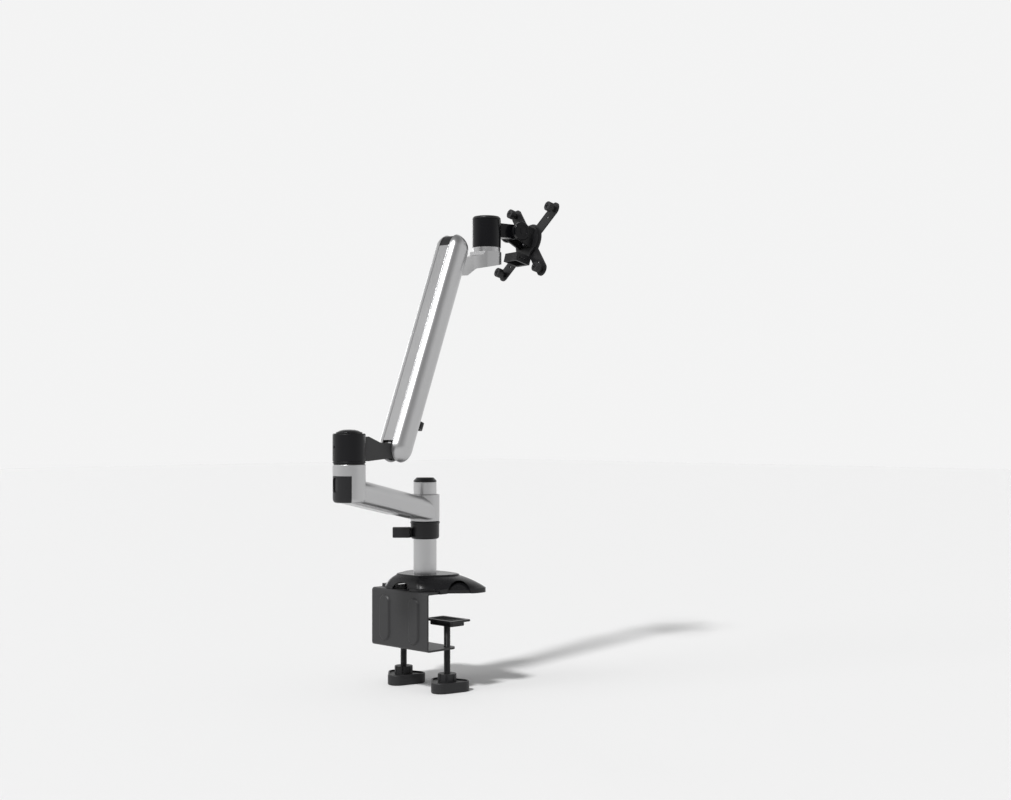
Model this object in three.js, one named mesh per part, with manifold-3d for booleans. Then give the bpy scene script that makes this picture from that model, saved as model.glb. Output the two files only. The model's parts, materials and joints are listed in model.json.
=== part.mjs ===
// Desk-clamp monitor arm with a gas-spring upper arm.
// Lengths are millimetres and +Z is up. The origin lies on the pole axis, at the underside of the upper flange,
// which is where the desk top comes. The desk lies towards +Y, and the back plate of the clamp is at -Y.
import * as THREE from "three";
import { mergeVertices } from "three/addons/utils/BufferGeometryUtils.js";
import Module from "manifold-3d";

const wasm = await Module();
wasm.setup();

// Driving dimensions: clamp bracket
const clampWidth = 126;
const clampBack = 52;
const clampHeight = 87;
const sheet = 3;
const bendRadius = 4.5;
const upperReach = 38;
const lowerReach = 10;
const flangeCorner = 12;
const ribSpread = 66;
const ribWidth = 24;
const ribLength = 70;
const ribDepth = 2.5;
const ribSlope = 3;

// Driving dimensions: clamp screws, pads and knobs
const screwSpread = 99;
const rodRadius = 5;
const knobBottom = -147;
const knobHeight = 15;
const knobReach = 33;
const knobLobe = 15;
const knobEdge = 1.5;
const knobTurn = 168;
const knobCollarRadius = 14;
const knobCollarHeight = 11;
const knobCollarEdge = 1.2;
const fluteRadius = 1.6;
const fluteCount = 8;
const padTop = -39.5;
const padLength = 62;
const padWidth = 41;
const padCorner = 4;
const padRim = 3;
const padBorder = 6.5;
const padRecess = 2.5;
const padDishDepth = 6.5;
const matThickness = 1.7;

// Driving dimensions: pole and foot
const poleRadius = 17.5;
const poleWall = 2.5;
const poleTop = 163.5;
const capHeight = 6.8;
const capChamfer = 4.5;
const capPlugDepth = 12;
const footRadius = 31;
const footThickness = 6;
const footScrewSpread = 38;
const footScrewRadius = 3;
const footScrewHead = 6;
const footScrewLip = 1;

// Driving dimensions: base cover. Its outlines give the right half as shares of the half width and the reach
const coverHalfWidth = 91;
const coverReach = 55;
const coverHeight = 25.5;
const coverWall = 2.5;
const coverRim = 7;
const coverLedge = 1.2;
const coverBulge = 2.5;
const coverShoulder = 2.5;
const coverFootShares = [
  [0, -0.89],
  [0.27, -0.88],
  [0.46, -0.8],
  [0.725, -0.255],
  [0.956, 0.218],
  [1, 0.545],
  [0.945, 0.818],
  [0.68, 0.964],
  [0.33, 1],
  [0, 1],
];
const coverTopShares = [
  [0, -0.655],
  [0.187, -0.636],
  [0.297, -0.564],
  [0.396, -0.273],
  [0.495, 0.073],
  [0.516, 0.309],
  [0.473, 0.509],
  [0.34, 0.618],
  [0.165, 0.673],
  [0, 0.69],
];
const backArchHalfWidth = 20.5;
const backArchHeight = 15;
const sideArchHalfWidth = 17;
const sideArchHeight = 18;
const sideArchTurn = -40;
const sideArchPlaceShares = [0.846, -0.018];
const panelSetBack = 4;
const tabThickness = 3;
const tabBack = -29;
const tabFront = -15;
const tabRoot = 11;

// Driving dimensions: height collar and its lever
const collarLow = 77.5;
const collarHeight = 26.5;
const collarRadius = 21.6;
const collarLip = 0.8;
const collarLipHeight = 3;
const collarRounding = 3;
const collarAngle = -135;
const earReach = 31;
const earHalfWidth = 8;
const earCorner = 3;
const splitWidth = 3;
const leverRise = 2.5;
const leverHeight = 16;
const leverReach = 48;
const leverThickness = 10;
const leverCorner = 2.4;
const camRadius = 6;
const leverPinRadius = 2;
const boltRadius = 3;
const boltHeadRadius = 5.5;
const boltHeadHeight = 4;
const boltEyeRadius = 4.2;

// Driving dimensions: lower arm
const lowerArmLength = 203.8;
const lowerArmAngle = -72.9;
const hubRadius = 22;
const hubHeight = 40.7;
const hubEdge = 1.2;
const bushWall = 1.5;
const bushHeight = 12;
const elbowRise = 37;
const armHalfWidth = 21;
const armTop = 18;
const armDrop = 17;
const armCorner = 8;
const channelWidth = 22;
const channelDepth = 9;
const channelStart = 30;
const stripStart = 87;
const stripPastElbow = 8.9;
const stripThickness = 3.4;

// Driving dimensions: elbow block and its insert
const elbowRadius = 23;
const elbowDrop = 17.3;
const elbowTop = 36.3;
const elbowRounding = 5;
const insertInset = 15.8;
const insertSpread = 87;
const insertDepth = 3.6;
const windowWidth = 13;
const windowLow = 15;
const windowHigh = 35.5;
const windowDepth = 2.2;
const windowCorner = 5;
const windowTurn = -24;

// Driving dimensions: elbow axle, housing and pivot bracket
const axleRadius = 6;
const axleFoot = 11.5;
const axleInset = 5;
const nutRadius = 10.2;
const nutHeight = 6;
const nutInset = 1;
const washerThickness = 1;
const housingHeight = 43;
const housingWall = 4.5;
const housingGroove = 0.7;
const grooveRise = 2;
const housingEdge = 1;
const grubRadius = 2;
const grubTurn = -200.2;
const lidPlug = 4;
const lidRadius = 18.7;
const lidStepHeight = 2;
const domeRadius = 16;
const domeHeight = 3.4;
const upperArmAngle = 97.2;
const pivotReach = 95.2;
const pivotRise = 18.4;
const noseRadius = 10;
const noseHalfWidth = 8.9;
const wedgeRise = 4.2;
const wedgeInset = 4.3;
const wedgeHalfWidth = 12.5;
const wedgeStart = 4;
const wedgeBendShare = 0.41;
const wedgeBendRise = 1.3;
const wedgeTaperShare = 0.484;
const wedgeSlotDepth = 19;

// Driving dimensions: upper arm and parallel link
const upperArmLength = 306.4;
const upperArmLift = 67;
const shellRadius = 24;
const shellBack = 20;
const shellCorner = 14.6;
const shellWall = 3;
const lowerDome = 5;
const upperDome = 23;
const slotHalfWidth = 9.65;
const pivotPinRadius = 4;
const pivotPinHead = 6;
const pivotPinHeadHeight = 2.2;
const pivotPinRecess = 1.8;
const pivotBossRadius = 9;
const backStripStart = 8;
const backStripInset = 3;
const backStripThickness = 2.1;
const plugInset = 1;
const plugWall = 3.5;
const plugLow = 14;
const linkOffset = 12;
const linkOffsetAngle = 127.5;
const linkThickness = 6;
const linkHeight = 5.6;
const linkEyeRadius = 5.4;
const linkPinRadius = 2.5;

// Driving dimensions: gas spring and cable clip
const springRadius = 9;
const springDrop = 11;
const springLength = 150;
const springEyeInset = 24.4;
const springTail = 20;
const springEyeRadius = 6;
const springEyeHalfWidth = 4;
const springBossRadius = 6;
const springPinRadius = 3;
const springPinHalfLength = 12;
const springRodRadius = 4;
const springRodDepth = 60;
const springRodTravel = 25;
const rodEyeRadius = 5.9;
const rodNeckLength = 15;
const rodSlotHigh = 1.6;
const rodSlotLow = 1.1;
const clipPlace = 51.5;
const clipHalfLength = 5;
const clipRadius = 6.5;
const clipBore = 4;
const clipMouth = 4;
const clipTurn = 35;
const clipFootWidth = 7;

// Driving dimensions: head bracket and swivel head
const headOffset = 91.8;
const headRise = 32.3;
const headRadius = 22.5;
const headHeight = 43.7;
const headYaw = -9;
const headEdge = 0.8;
const headWall = 3.5;
const headFloor = 5;
const headHub = 9;
const headHubInset = 12;
const headAxleRadius = 5;
const headAxleSeat = 10;
const headNutRadius = 9;
const headNutHeight = 4;
const headNutInset = 6;
const headCapHeight = 4.7;
const headCapPlug = 4;
const headCapStep = 2;
const seatBossHeight = 7.2;
const seatOverhang = 0.8;
const finNeckShares = [0.2, 0.38, 0.6];
const finNeckDepth = 17;
const finMiddleDepth = 4;
const finEndLow = 8;
const finShoulder = 19;
const finTop = 11.4;
const finFlare = 12;

// Driving dimensions: tilt joint
const tiltReach = 54.5;
const tiltRise = 28.7;
const tiltAngle = 14.5;
const neckHalfWidth = 8;
const neckHeight = 22;
const barrelRadius = 11.5;
const barrelHalfLength = 12;
const tiltAxleRadius = 4;
const cheekThickness = 4;
const cheekMargin = 1.5;
const cheekDrop = 8;
const tiltDiscRadius = 14.5;
const tiltDiscThickness = 5.5;
const tiltDiscEdge = 1.2;
const baseRadius = 27;
const baseThickness = 4;
const boxLow = -46.5;
const boxHigh = -33;
const boxBack = 2;
const boxWall = 3;
const boxHoleRadius = 1.6;
const boxHoleSpacing = 5;
const boxHoleCount = 3;

// Driving dimensions: plate
const plateOffset = 30;
const plateDrop = 6;
const plateThickness = 2.5;
const plateArmHalfWidth = 10.5;
const plateCentreRadius = 30;
const vesaLarge = 100;
const vesaSmall = 75;
const vesaHoleRadius = 2.3;
const platePivotRadius = 4;
const platePivotHead = 6.8;
const platePivotFlange = 7.5;
const platePivotDepth = 5;
const thumbRadius = 7.5;
const thumbHeight = 9;
const thumbNeckRadius = 4.5;
const thumbNeck = 5;
const thumbScrewRadius = 2;
const thumbScrewReach = 6;

// Shared clearances and counts
const gap = 0.3;
const overrun = 40;
const roundSides = 24;
const middleSides = 16;
const smallSides = 12;
const mergeTolerance = 1e-3;

// Heights and places that follow from the driving dimensions
const clampLow = sheet - clampHeight;
const clampMiddle = (sheet + clampLow) / 2;
const footTop = sheet + footThickness;
const knobTop = knobBottom + knobHeight;
const knobCollarTop = knobTop + knobCollarHeight;
const collarHigh = collarLow + collarHeight;
const leverLow = collarLow + leverRise;
const leverHigh = leverLow + leverHeight;
const hubLow = collarHigh + gap;
const hubHigh = hubLow + hubHeight;
const armStartHeight = hubLow + armDrop;
const armEndHeight = armStartHeight + elbowRise;
const riseAngle = Math.atan2(elbowRise, lowerArmLength);
const elbowLow = armEndHeight - elbowDrop;
const elbowHigh = armEndHeight + elbowTop;
const insertTop = elbowHigh - insertInset;
const washerTop = elbowHigh + gap + washerThickness;
const housingLow = washerTop + gap;
const housingHigh = elbowHigh + housingHeight;
const axleTop = housingHigh - axleInset;
const nutTop = axleTop - nutInset;
const pivotHeight = elbowHigh + pivotRise;
const wedgeLow = elbowHigh + wedgeRise;
const wedgeHigh = housingHigh - wedgeInset;
const lugRadius = linkEyeRadius + gap / 2;

const rad = THREE.MathUtils.degToRad;
const deg = THREE.MathUtils.radToDeg;

// Where the link is pinned, measured from a pivot, and the spring's pin lies opposite
const linkX = linkOffset * Math.cos(rad(linkOffsetAngle));
const linkZ = linkOffset * Math.sin(rad(linkOffsetAngle));

// Finishes
function finish(color, roughness, metalness) {
  return new THREE.MeshStandardMaterial({ color, roughness, metalness });
}
const silver = finish(0xb4b5b6, 0.38, 0.75);
const steel = finish(0x9a9b9c, 0.35, 0.9);
const blackPaint = finish(0x303133, 0.55, 0.2);
const blackPlastic = finish(0x1b1c1d, 0.45, 0);
const blackGloss = finish(0x121213, 0.2, 0);
const rubber = finish(0x171717, 0.85, 0);

// A closed solid of a geometry
function solid(geometry) {
  const loose = geometry.index ? geometry.toNonIndexed() : geometry;
  const bare = new THREE.BufferGeometry().setAttribute("position", loose.getAttribute("position"));
  const merged = mergeVertices(bare, mergeTolerance);
  const mesh = new wasm.Mesh({
    numProp: 3,
    vertProperties: merged.attributes.position.array,
    triVerts: merged.index.array,
  });
  return new wasm.Manifold(mesh);
}

// A round bar along Z
function bar(radius, low, high, sides = roundSides) {
  const geometry = new THREE.CylinderGeometry(radius, radius, high - low, sides);
  return solid(geometry.rotateX(Math.PI / 2).translate(0, 0, (low + high) / 2));
}

// A round bar along Y
function crossBar(radius, left, right, sides = roundSides) {
  const geometry = new THREE.CylinderGeometry(radius, radius, right - left, sides);
  return solid(geometry.translate(0, (left + right) / 2, 0));
}

// A round bar along X
function longBar(radius, start, end, sides = roundSides) {
  const geometry = new THREE.CylinderGeometry(radius, radius, end - start, sides);
  return solid(geometry.rotateZ(-Math.PI / 2).translate((start + end) / 2, 0, 0));
}

function block(x0, x1, y0, y1, z0, z1) {
  const geometry = new THREE.BoxGeometry(x1 - x0, y1 - y0, z1 - z0);
  return solid(geometry.translate((x0 + x1) / 2, (y0 + y1) / 2, (z0 + z1) / 2));
}

// A body of revolution about Z from [radius, height] pairs
function turned(profile, sides = roundSides) {
  const points = profile.map(([radius, height]) => new THREE.Vector2(radius, height));
  return solid(new THREE.LatheGeometry(points, sides).rotateX(Math.PI / 2));
}

// A ring about Z with a rectangular section
function ring(inner, outer, low, high) {
  return turned([
    [inner, low],
    [outer, low],
    [outer, high],
    [inner, high],
    [inner, low],
  ]);
}

// A flat outline in X and Y, raised along Z
function raised(outline, low, high, curveSegments = 3) {
  const options = { depth: high - low, bevelEnabled: false, curveSegments };
  return solid(new THREE.ExtrudeGeometry(outline, options).translate(0, 0, low));
}

// An outline in X and Z, made thick along Y
function sideways(outline, left, right, curveSegments = 3) {
  return raised(outline, -right, -left, curveSegments).rotate([90, 0, 0]);
}

function shapeOf(points) {
  return new THREE.Shape(points.map(([x, y]) => new THREE.Vector2(x, y)));
}

function roundedRectangle(x0, x1, y0, y1, radius) {
  const shape = new THREE.Shape();
  shape.absarc(x1 - radius, y1 - radius, radius, 0, Math.PI / 2, false);
  shape.absarc(x0 + radius, y1 - radius, radius, Math.PI / 2, Math.PI, false);
  shape.absarc(x0 + radius, y0 + radius, radius, Math.PI, Math.PI * 1.5, false);
  shape.absarc(x1 - radius, y0 + radius, radius, Math.PI * 1.5, Math.PI * 2, false);
  return shape;
}

// A rounded rectangle about the middle
function centredRectangle(length, width, radius) {
  return roundedRectangle(-length / 2, length / 2, -width / 2, width / 2, radius);
}

// A skin through rings of equally many points, closed by a flat cap at each end
function loft(rings) {
  const count = rings[0].length;
  const flat = rings.flat().flatMap((point) => [point.x, point.y, point.z]);
  const faces = [];
  for (let ringIndex = 0; ringIndex + 1 < rings.length; ringIndex += 1) {
    for (let side = 0; side < count; side += 1) {
      const next = (side + 1) % count;
      const a = ringIndex * count + side;
      const b = ringIndex * count + next;
      const c = a + count;
      const d = b + count;
      faces.push(a, b, d, a, d, c);
    }
  }
  const last = (rings.length - 1) * count;
  for (let side = 1; side + 1 < count; side += 1) {
    faces.push(0, side + 1, side);
    faces.push(last, last + side, last + side + 1);
  }
  const geometry = new THREE.BufferGeometry();
  geometry.setAttribute("position", new THREE.Float32BufferAttribute(flat, 3));
  geometry.setIndex(faces);
  return solid(geometry);
}

// An outline in Y and Z: round above, flat below, or turned over
function archSection(halfWidth, rise, drop, corner, flip = false) {
  const points = [];
  const arcSteps = 10;
  const cornerSteps = 2;
  for (let step = 0; step <= arcSteps; step += 1) {
    const angle = (Math.PI * step) / arcSteps;
    points.push([halfWidth * Math.cos(angle), rise * Math.sin(angle)]);
  }
  for (const [side, start] of [
    [-1, Math.PI],
    [1, Math.PI * 1.5],
  ]) {
    for (let step = 0; step <= cornerSteps; step += 1) {
      const angle = start + ((Math.PI / 2) * step) / cornerSteps;
      const y = side * (halfWidth - corner) + corner * Math.cos(angle);
      points.push([y, corner - drop + corner * Math.sin(angle)]);
    }
  }
  return flip ? points.map(([y, z]) => [-y, -z]) : points;
}

function sectionAt(points, x, scale = 1) {
  return points.map(([y, z]) => new THREE.Vector3(x, y * scale, z * scale));
}

// Joins solids into one
function join(...solids) {
  return solids.reduce((whole, next) => whole.add(next));
}

// Cuts each of the tools from a solid
function cut(whole, ...tools) {
  return tools.reduce((rest, tool) => rest.subtract(tool), whole);
}

// Adds a named mesh of a solid to a group
function piece(group, name, shape, material) {
  const mesh = shape.getMesh();
  const geometry = new THREE.BufferGeometry();
  geometry.setAttribute("position", new THREE.BufferAttribute(mesh.vertProperties, 3));
  geometry.setIndex(new THREE.BufferAttribute(mesh.triVerts, 1));
  const made = new THREE.Mesh(geometry, material);
  made.name = name;
  group.add(made);
}

function frameAt(parent, x, y, z, turn = 0) {
  const group = new THREE.Group();
  group.position.set(x, y, z);
  group.rotation.z = rad(turn);
  parent.add(group);
  return group;
}

const monitorArm = new THREE.Group();

// Clamp bracket: one folded sheet with two pressed ribs in the back plate
function clampProfile() {
  const inner = bendRadius - sheet;
  const centre = bendRadius - clampBack;
  const shape = new THREE.Shape();
  shape.moveTo(upperReach, sheet);
  shape.absarc(centre, sheet - bendRadius, bendRadius, Math.PI / 2, Math.PI, false);
  shape.absarc(centre, clampLow + bendRadius, bendRadius, Math.PI, Math.PI * 1.5, false);
  shape.lineTo(lowerReach, clampLow);
  shape.lineTo(lowerReach, clampLow + sheet);
  shape.absarc(centre, clampLow + bendRadius, inner, Math.PI * 1.5, Math.PI, true);
  shape.absarc(centre, -inner, inner, Math.PI, Math.PI / 2, true);
  shape.lineTo(upperReach, 0);
  return shape;
}

function obround(halfWidth, halfLength, x, y, z) {
  const points = [];
  const steps = 5;
  for (let step = 0; step < 2 * steps; step += 1) {
    const upper = step < steps;
    const angle = (Math.PI * (upper ? step : step - 1)) / (steps - 1);
    const middle = z + (upper ? 1 : -1) * (halfLength - halfWidth);
    const across = x + halfWidth * Math.cos(angle);
    points.push(new THREE.Vector3(across, y, middle + halfWidth * Math.sin(angle)));
  }
  return points;
}

function ribSolid(x, width, length, outer, inner) {
  const base = obround(width / 2, length / 2, x, inner, clampMiddle);
  const crest = obround(width / 2 - ribSlope, length / 2 - ribSlope, x, outer, clampMiddle);
  return loft([base, crest]);
}

// A flange with rounded front corners, as wide as the clamp
function flangePlan(reach, low, high, grow = 0) {
  const half = clampWidth / 2 + grow;
  const middle = reach + grow - flangeCorner;
  const outline = new THREE.Shape();
  outline.moveTo(-half, -clampBack - overrun);
  outline.lineTo(half, -clampBack - overrun);
  outline.absarc(half - flangeCorner, middle, flangeCorner, 0, Math.PI / 2, false);
  outline.absarc(flangeCorner - half, middle, flangeCorner, Math.PI / 2, Math.PI, false);
  return raised(outline, low, high);
}

const screwPlaces = [-screwSpread / 2, screwSpread / 2];
const footPlaces = [1, -1].flatMap((sideX) =>
  [1, -1].map((sideY) => [(sideX * footScrewSpread) / 2, (sideY * footScrewSpread) / 2]),
);

function clampBracket() {
  const folded = raised(clampProfile(), -clampWidth / 2, clampWidth / 2)
    .rotate([90, 0, 0])
    .rotate([0, 0, 90]);
  const upper = flangePlan(upperReach, clampMiddle, overrun);
  const lower = flangePlan(lowerReach, clampLow - overrun, clampMiddle);
  let bracket = folded.intersect(join(upper, lower));
  for (const x of [-ribSpread / 2, ribSpread / 2]) {
    const outer = -clampBack - ribDepth;
    const rib = ribSolid(x, ribWidth, ribLength, outer, sheet / 2 - clampBack);
    const inside = sheet - clampBack + gap;
    const recess = ribSolid(x, ribWidth - sheet, ribLength - sheet, outer + sheet, inside);
    bracket = bracket.add(rib).subtract(recess);
  }
  for (const x of screwPlaces) {
    const hole = bar(rodRadius + gap, clampLow - overrun, clampLow + overrun, smallSides);
    bracket = bracket.subtract(hole.translate([x, 0, 0]));
  }
  const head = footScrewHead + gap;
  const shank = footScrewRadius + gap;
  const seat = turned([
    [0, -sheet],
    [head, -sheet],
    [head, gap],
    [shank, sheet - footScrewLip + gap],
    [shank, overrun],
    [0, overrun],
  ]);
  for (const [x, y] of footPlaces) {
    bracket = bracket.subtract(seat.translate([x, y, 0]));
  }
  piece(monitorArm, "clamp_bracket", bracket, blackPaint);
}
clampBracket();

// Countersunk screws that hold the pole's foot to the upper flange
footPlaces.forEach(([x, y], index) => {
  const top = footTop - gap;
  const profile = [
    [0, gap],
    [footScrewHead, gap],
    [footScrewRadius, sheet - footScrewLip],
    [footScrewRadius, top],
    [0, top],
  ];
  piece(monitorArm, `foot_screw_${index + 1}`, turned(profile, smallSides).translate([x, y, 0]), steel);
});

// Pole: a tube with a round foot, and the plug in its top
function pole() {
  const bore = poleRadius - poleWall;
  const tube = turned([
    [0, sheet],
    [footRadius, sheet],
    [footRadius, footTop],
    [poleRadius, footTop],
    [poleRadius, poleTop],
    [bore, poleTop],
    [bore, footTop],
    [0, footTop],
  ]);
  const hole = bar(footScrewRadius + gap, sheet - overrun, footTop + overrun, smallSides);
  const holes = footPlaces.map(([x, y]) => hole.translate([x, y, 0]));
  piece(monitorArm, "pole", cut(tube, ...holes), silver);

  const plug = bore - gap;
  const seat = poleTop + gap;
  const top = poleTop + capHeight;
  const cap = turned([
    [0, poleTop - capPlugDepth],
    [plug, poleTop - capPlugDepth],
    [plug, seat],
    [poleRadius, seat],
    [poleRadius, seat + capHeight / 4],
    [poleRadius - capChamfer, top],
    [0, top],
  ]);
  piece(monitorArm, "pole_cap", cap, blackPlastic);
}
pole();

// Base cover: a hood with an upright rim, a cable opening at the back and a closed arch in each wing
function coverRing(toTop, height, inset) {
  const right = coverFootShares.map(([footX, footY], index) => {
    const [topX, topY] = coverTopShares[index];
    const x = THREE.MathUtils.lerp(footX, topX, toTop) * coverHalfWidth;
    return [x, THREE.MathUtils.lerp(footY, topY, toTop) * coverReach];
  });
  const left = right
    .slice(1, -1)
    .reverse()
    .map(([x, y]) => [-x, y]);
  const places = [...right, ...left].map(([x, y]) => new THREE.Vector3(x, y, 0));
  const curve = new THREE.CatmullRomCurve3(places, true, "catmullrom", 0.5);
  const count = 2 * places.length;
  return curve
    .getPoints(count)
    .slice(0, count)
    .map((point) => {
      const kept = 1 - inset / point.length();
      return new THREE.Vector3(point.x * kept, point.y * kept, height);
    });
}

// The hood's skin, or one that lies further in all over
function hood(inset) {
  const ledge = coverRim + coverLedge / 3;
  const middle = (coverRim + coverHeight) / 2;
  return loft([
    coverRing(0, -overrun, inset),
    coverRing(0, coverRim - inset / 2, inset),
    coverRing(0, ledge - inset / 2, inset + coverLedge),
    coverRing(0.5, middle - inset * 0.8, inset - coverBulge),
    coverRing(1, coverHeight - coverShoulder - inset, inset - coverShoulder),
    coverRing(1, coverHeight - inset, inset),
  ]);
}

// An arched tunnel from the middle out along an angle
function archTunnel(halfWidth, height, start, end, turn) {
  const arch = new THREE.Shape();
  arch.moveTo(-halfWidth, -overrun);
  arch.lineTo(halfWidth, -overrun);
  arch.absellipse(0, 0, halfWidth, height, 0, Math.PI, false);
  return sideways(arch, start, end).rotate([0, 0, turn - 90]);
}

function baseCover() {
  const outer = hood(0);
  const backArch = archTunnel(backArchHalfWidth, backArchHeight, footRadius, clampBack + overrun, -90);
  let cover = outer.subtract(hood(coverWall));
  for (const side of [1, -1]) {
    const turn = side > 0 ? sideArchTurn : 180 - sideArchTurn;
    const [shareX, shareY] = sideArchPlaceShares;
    const place = [side * shareX * coverHalfWidth, shareY * coverReach, 0];
    const depth = coverReach - coverRim;
    const arch = archTunnel(sideArchHalfWidth, sideArchHeight, -depth, overrun, turn).translate(place);
    const wide = sideArchHalfWidth + coverWall;
    const frame = archTunnel(wide, sideArchHeight + coverWall, -depth, overrun, turn).translate(place);
    const panel = frame.intersect(outer).subtract(hood(panelSetBack + coverWall));
    cover = cover.add(panel).subtract(arch.subtract(hood(panelSetBack)));
  }
  for (const side of [1, -1]) {
    const inner = clampWidth / 2 + gap;
    const edges = [side * inner, side * (inner + tabThickness)];
    const roots = [side * (inner - tabRoot), side * (inner + tabThickness)];
    const tab = block(Math.min(...edges), Math.max(...edges), tabBack, tabFront, 0, coverRim);
    const rootLow = sheet + gap;
    const root = block(Math.min(...roots), Math.max(...roots), tabBack, tabFront, rootLow, coverRim);
    cover = join(cover, tab, root);
  }
  const poleHole = bar(poleRadius + gap, 0, overrun);
  const flangeRoom = flangePlan(upperReach, -overrun, sheet + gap, gap);
  const finished = cut(cover, backArch, poleHole, flangeRoom).trimByPlane([0, 0, 1], 0);
  piece(monitorArm, "base_cover", finished, blackPlastic);
}
baseCover();

// Clamp screws: a dished pad with a rubber mat, and the screw with its three-cornered knob
function knobOutline() {
  const shape = new THREE.Shape();
  const centre = knobReach - knobLobe;
  for (const turn of [0, 120, 240]) {
    const x = centre * Math.cos(rad(turn));
    const y = centre * Math.sin(rad(turn));
    shape.absarc(x, y, knobLobe, rad(turn - 60), rad(turn + 60), false);
  }
  return shape;
}

function pressurePad(place, side) {
  const socketTop = padTop - padRecess - padRim;
  const dishLow = padTop - padRim - padDishDepth;
  const innerLength = padLength - padBorder * 2;
  const innerWidth = padWidth - padBorder * 2;
  const rim = raised(centredRectangle(padLength, padWidth, padCorner), padTop - padRim, padTop);
  const dish = raised(centredRectangle(innerLength, innerWidth, padCorner), dishLow, padTop - padRim);
  const recess = raised(
    centredRectangle(innerLength, innerWidth, padCorner / 2),
    padTop - padRecess,
    padTop + overrun,
  );
  const socket = bar(rodRadius + gap, dishLow - overrun, socketTop, smallSides);
  piece(place, `${side}_pressure_pad`, cut(join(rim, dish), recess, socket), blackPlastic);

  const matOutline = centredRectangle(innerLength - gap * 2, innerWidth - gap * 2, padCorner / 2);
  const matLow = padTop - padRecess;
  piece(place, `${side}_pad_rubber`, raised(matOutline, matLow, matLow + matThickness), rubber);
  return socketTop - gap;
}

function clampKnob(place, side, rodLow) {
  const options = {
    depth: knobHeight - 2 * knobEdge,
    bevelEnabled: true,
    bevelThickness: knobEdge,
    bevelSize: knobEdge,
    bevelOffset: -knobEdge,
    bevelSegments: 1,
    curveSegments: 4,
  };
  const body = solid(new THREE.ExtrudeGeometry(knobOutline(), options))
    .translate([0, 0, knobBottom + knobEdge])
    .rotate([0, 0, knobTurn]);
  const collar = turned(
    [
      [0, knobTop - knobEdge],
      [knobCollarRadius, knobTop - knobEdge],
      [knobCollarRadius, knobCollarTop - knobCollarEdge],
      [knobCollarRadius - knobCollarEdge, knobCollarTop],
      [0, knobCollarTop],
    ],
    middleSides,
  );
  const flute = bar(fluteRadius, knobTop, knobCollarTop + overrun, 8).translate([knobCollarRadius, 0, 0]);
  const flutes = [];
  for (let index = 0; index < fluteCount; index += 1) {
    flutes.push(flute.rotate([0, 0, (index * 360) / fluteCount]));
  }
  const bore = bar(rodRadius + gap, rodLow - gap, knobCollarTop + overrun, smallSides);
  piece(place, `${side}_clamp_knob`, cut(join(body, cut(collar, ...flutes)), bore), blackPlastic);
}

for (const [side, x] of [
  ["left", screwPlaces[0]],
  ["right", screwPlaces[1]],
]) {
  const place = frameAt(monitorArm, x, 0, 0);
  const rodHigh = pressurePad(place, side);
  const rodLow = knobBottom + knobHeight / 2;
  piece(place, `${side}_clamp_screw`, bar(rodRadius, rodLow, rodHigh, smallSides), blackPaint);
  clampKnob(place, side, rodLow);
}

// Height collar: a split ring with two ears, drawn together by a bolt and a cam lever
function heightCollar() {
  const place = frameAt(monitorArm, 0, 0, 0, collarAngle);
  const middle = (leverLow + leverHigh) / 2;
  const inner = poleRadius + gap;
  const outer = collarRadius + collarLip;
  const band = turned([
    [inner, collarLow],
    [collarRadius - collarRounding, collarLow],
    [collarRadius - collarRounding * 0.3, collarLow + collarRounding * 0.3],
    [collarRadius, collarLow + collarRounding],
    [collarRadius, collarHigh - collarLipHeight - collarLip],
    [outer, collarHigh - collarLipHeight],
    [outer, collarHigh - collarLip],
    [collarRadius, collarHigh],
    [inner, collarHigh],
    [inner, collarLow],
  ]);
  const earOutline = roundedRectangle(poleRadius, earReach, -earHalfWidth, earHalfWidth, earCorner);
  const ears = raised(earOutline, leverLow, leverHigh - leverPinRadius);
  const below = collarLow - overrun;
  const above = collarHigh + overrun;
  const bore = bar(inner, below, above);
  const split = block(0, earReach + overrun, -splitWidth / 2, splitWidth / 2, below, above);
  const boltX = (collarRadius + earReach) / 2;
  const boltHole = crossBar(boltRadius + gap, -overrun, overrun, smallSides).translate([boltX, 0, middle]);
  const collar = cut(join(band, ears.subtract(bore)), split, boltHole);
  piece(place, "height_collar", collar, blackPlastic);

  const pinY = earHalfWidth + gap * 2 + camRadius;
  const headEnd = -earHalfWidth - gap;
  const headStart = headEnd - boltHeadHeight;
  const shank = crossBar(boltRadius, headStart + gap, pinY, smallSides);
  const head = crossBar(boltHeadRadius, headStart, headEnd, 6);
  const eye = bar(boltEyeRadius, -boltRadius, boltRadius, smallSides).translate([0, pinY, 0]);
  const eyeHole = bar(leverPinRadius + gap, -overrun, overrun, smallSides).translate([0, pinY, 0]);
  const bolt = cut(join(shank, head, eye), eyeHole).translate([boltX, 0, middle]);
  piece(place, "collar_bolt", bolt, steel);

  const lever = frameAt(place, boltX, pinY, 0);
  const cheek = boltRadius + gap;
  const cam = bar(camRadius, leverLow, leverHigh, middleSides);
  const handleEnd = leverReach - boltX;
  const handleInner = camRadius - leverThickness;
  const outline = roundedRectangle(-camRadius / 2, handleEnd, handleInner, camRadius, leverCorner);
  const handle = raised(outline, leverLow, leverHigh);
  const throatEnd = boltEyeRadius + gap;
  const throat = block(-overrun, throatEnd, -overrun, overrun, middle - cheek, middle + cheek);
  const pinHole = bar(leverPinRadius + gap, below, above, smallSides);
  piece(lever, "collar_lever", cut(join(cam, handle), throat, pinHole), blackPlastic);
  piece(lever, "lever_pin", bar(leverPinRadius, leverLow, leverHigh, smallSides), steel);
}
heightCollar();

// Lower arm: hub, rising arm with a cable channel in its underside, and elbow block in one casting
const lowerFrame = frameAt(monitorArm, 0, 0, 0, lowerArmAngle);

function inclined(shape) {
  return shape.rotate([0, -deg(riseAngle), 0]).translate([0, 0, armStartHeight]);
}

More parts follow.
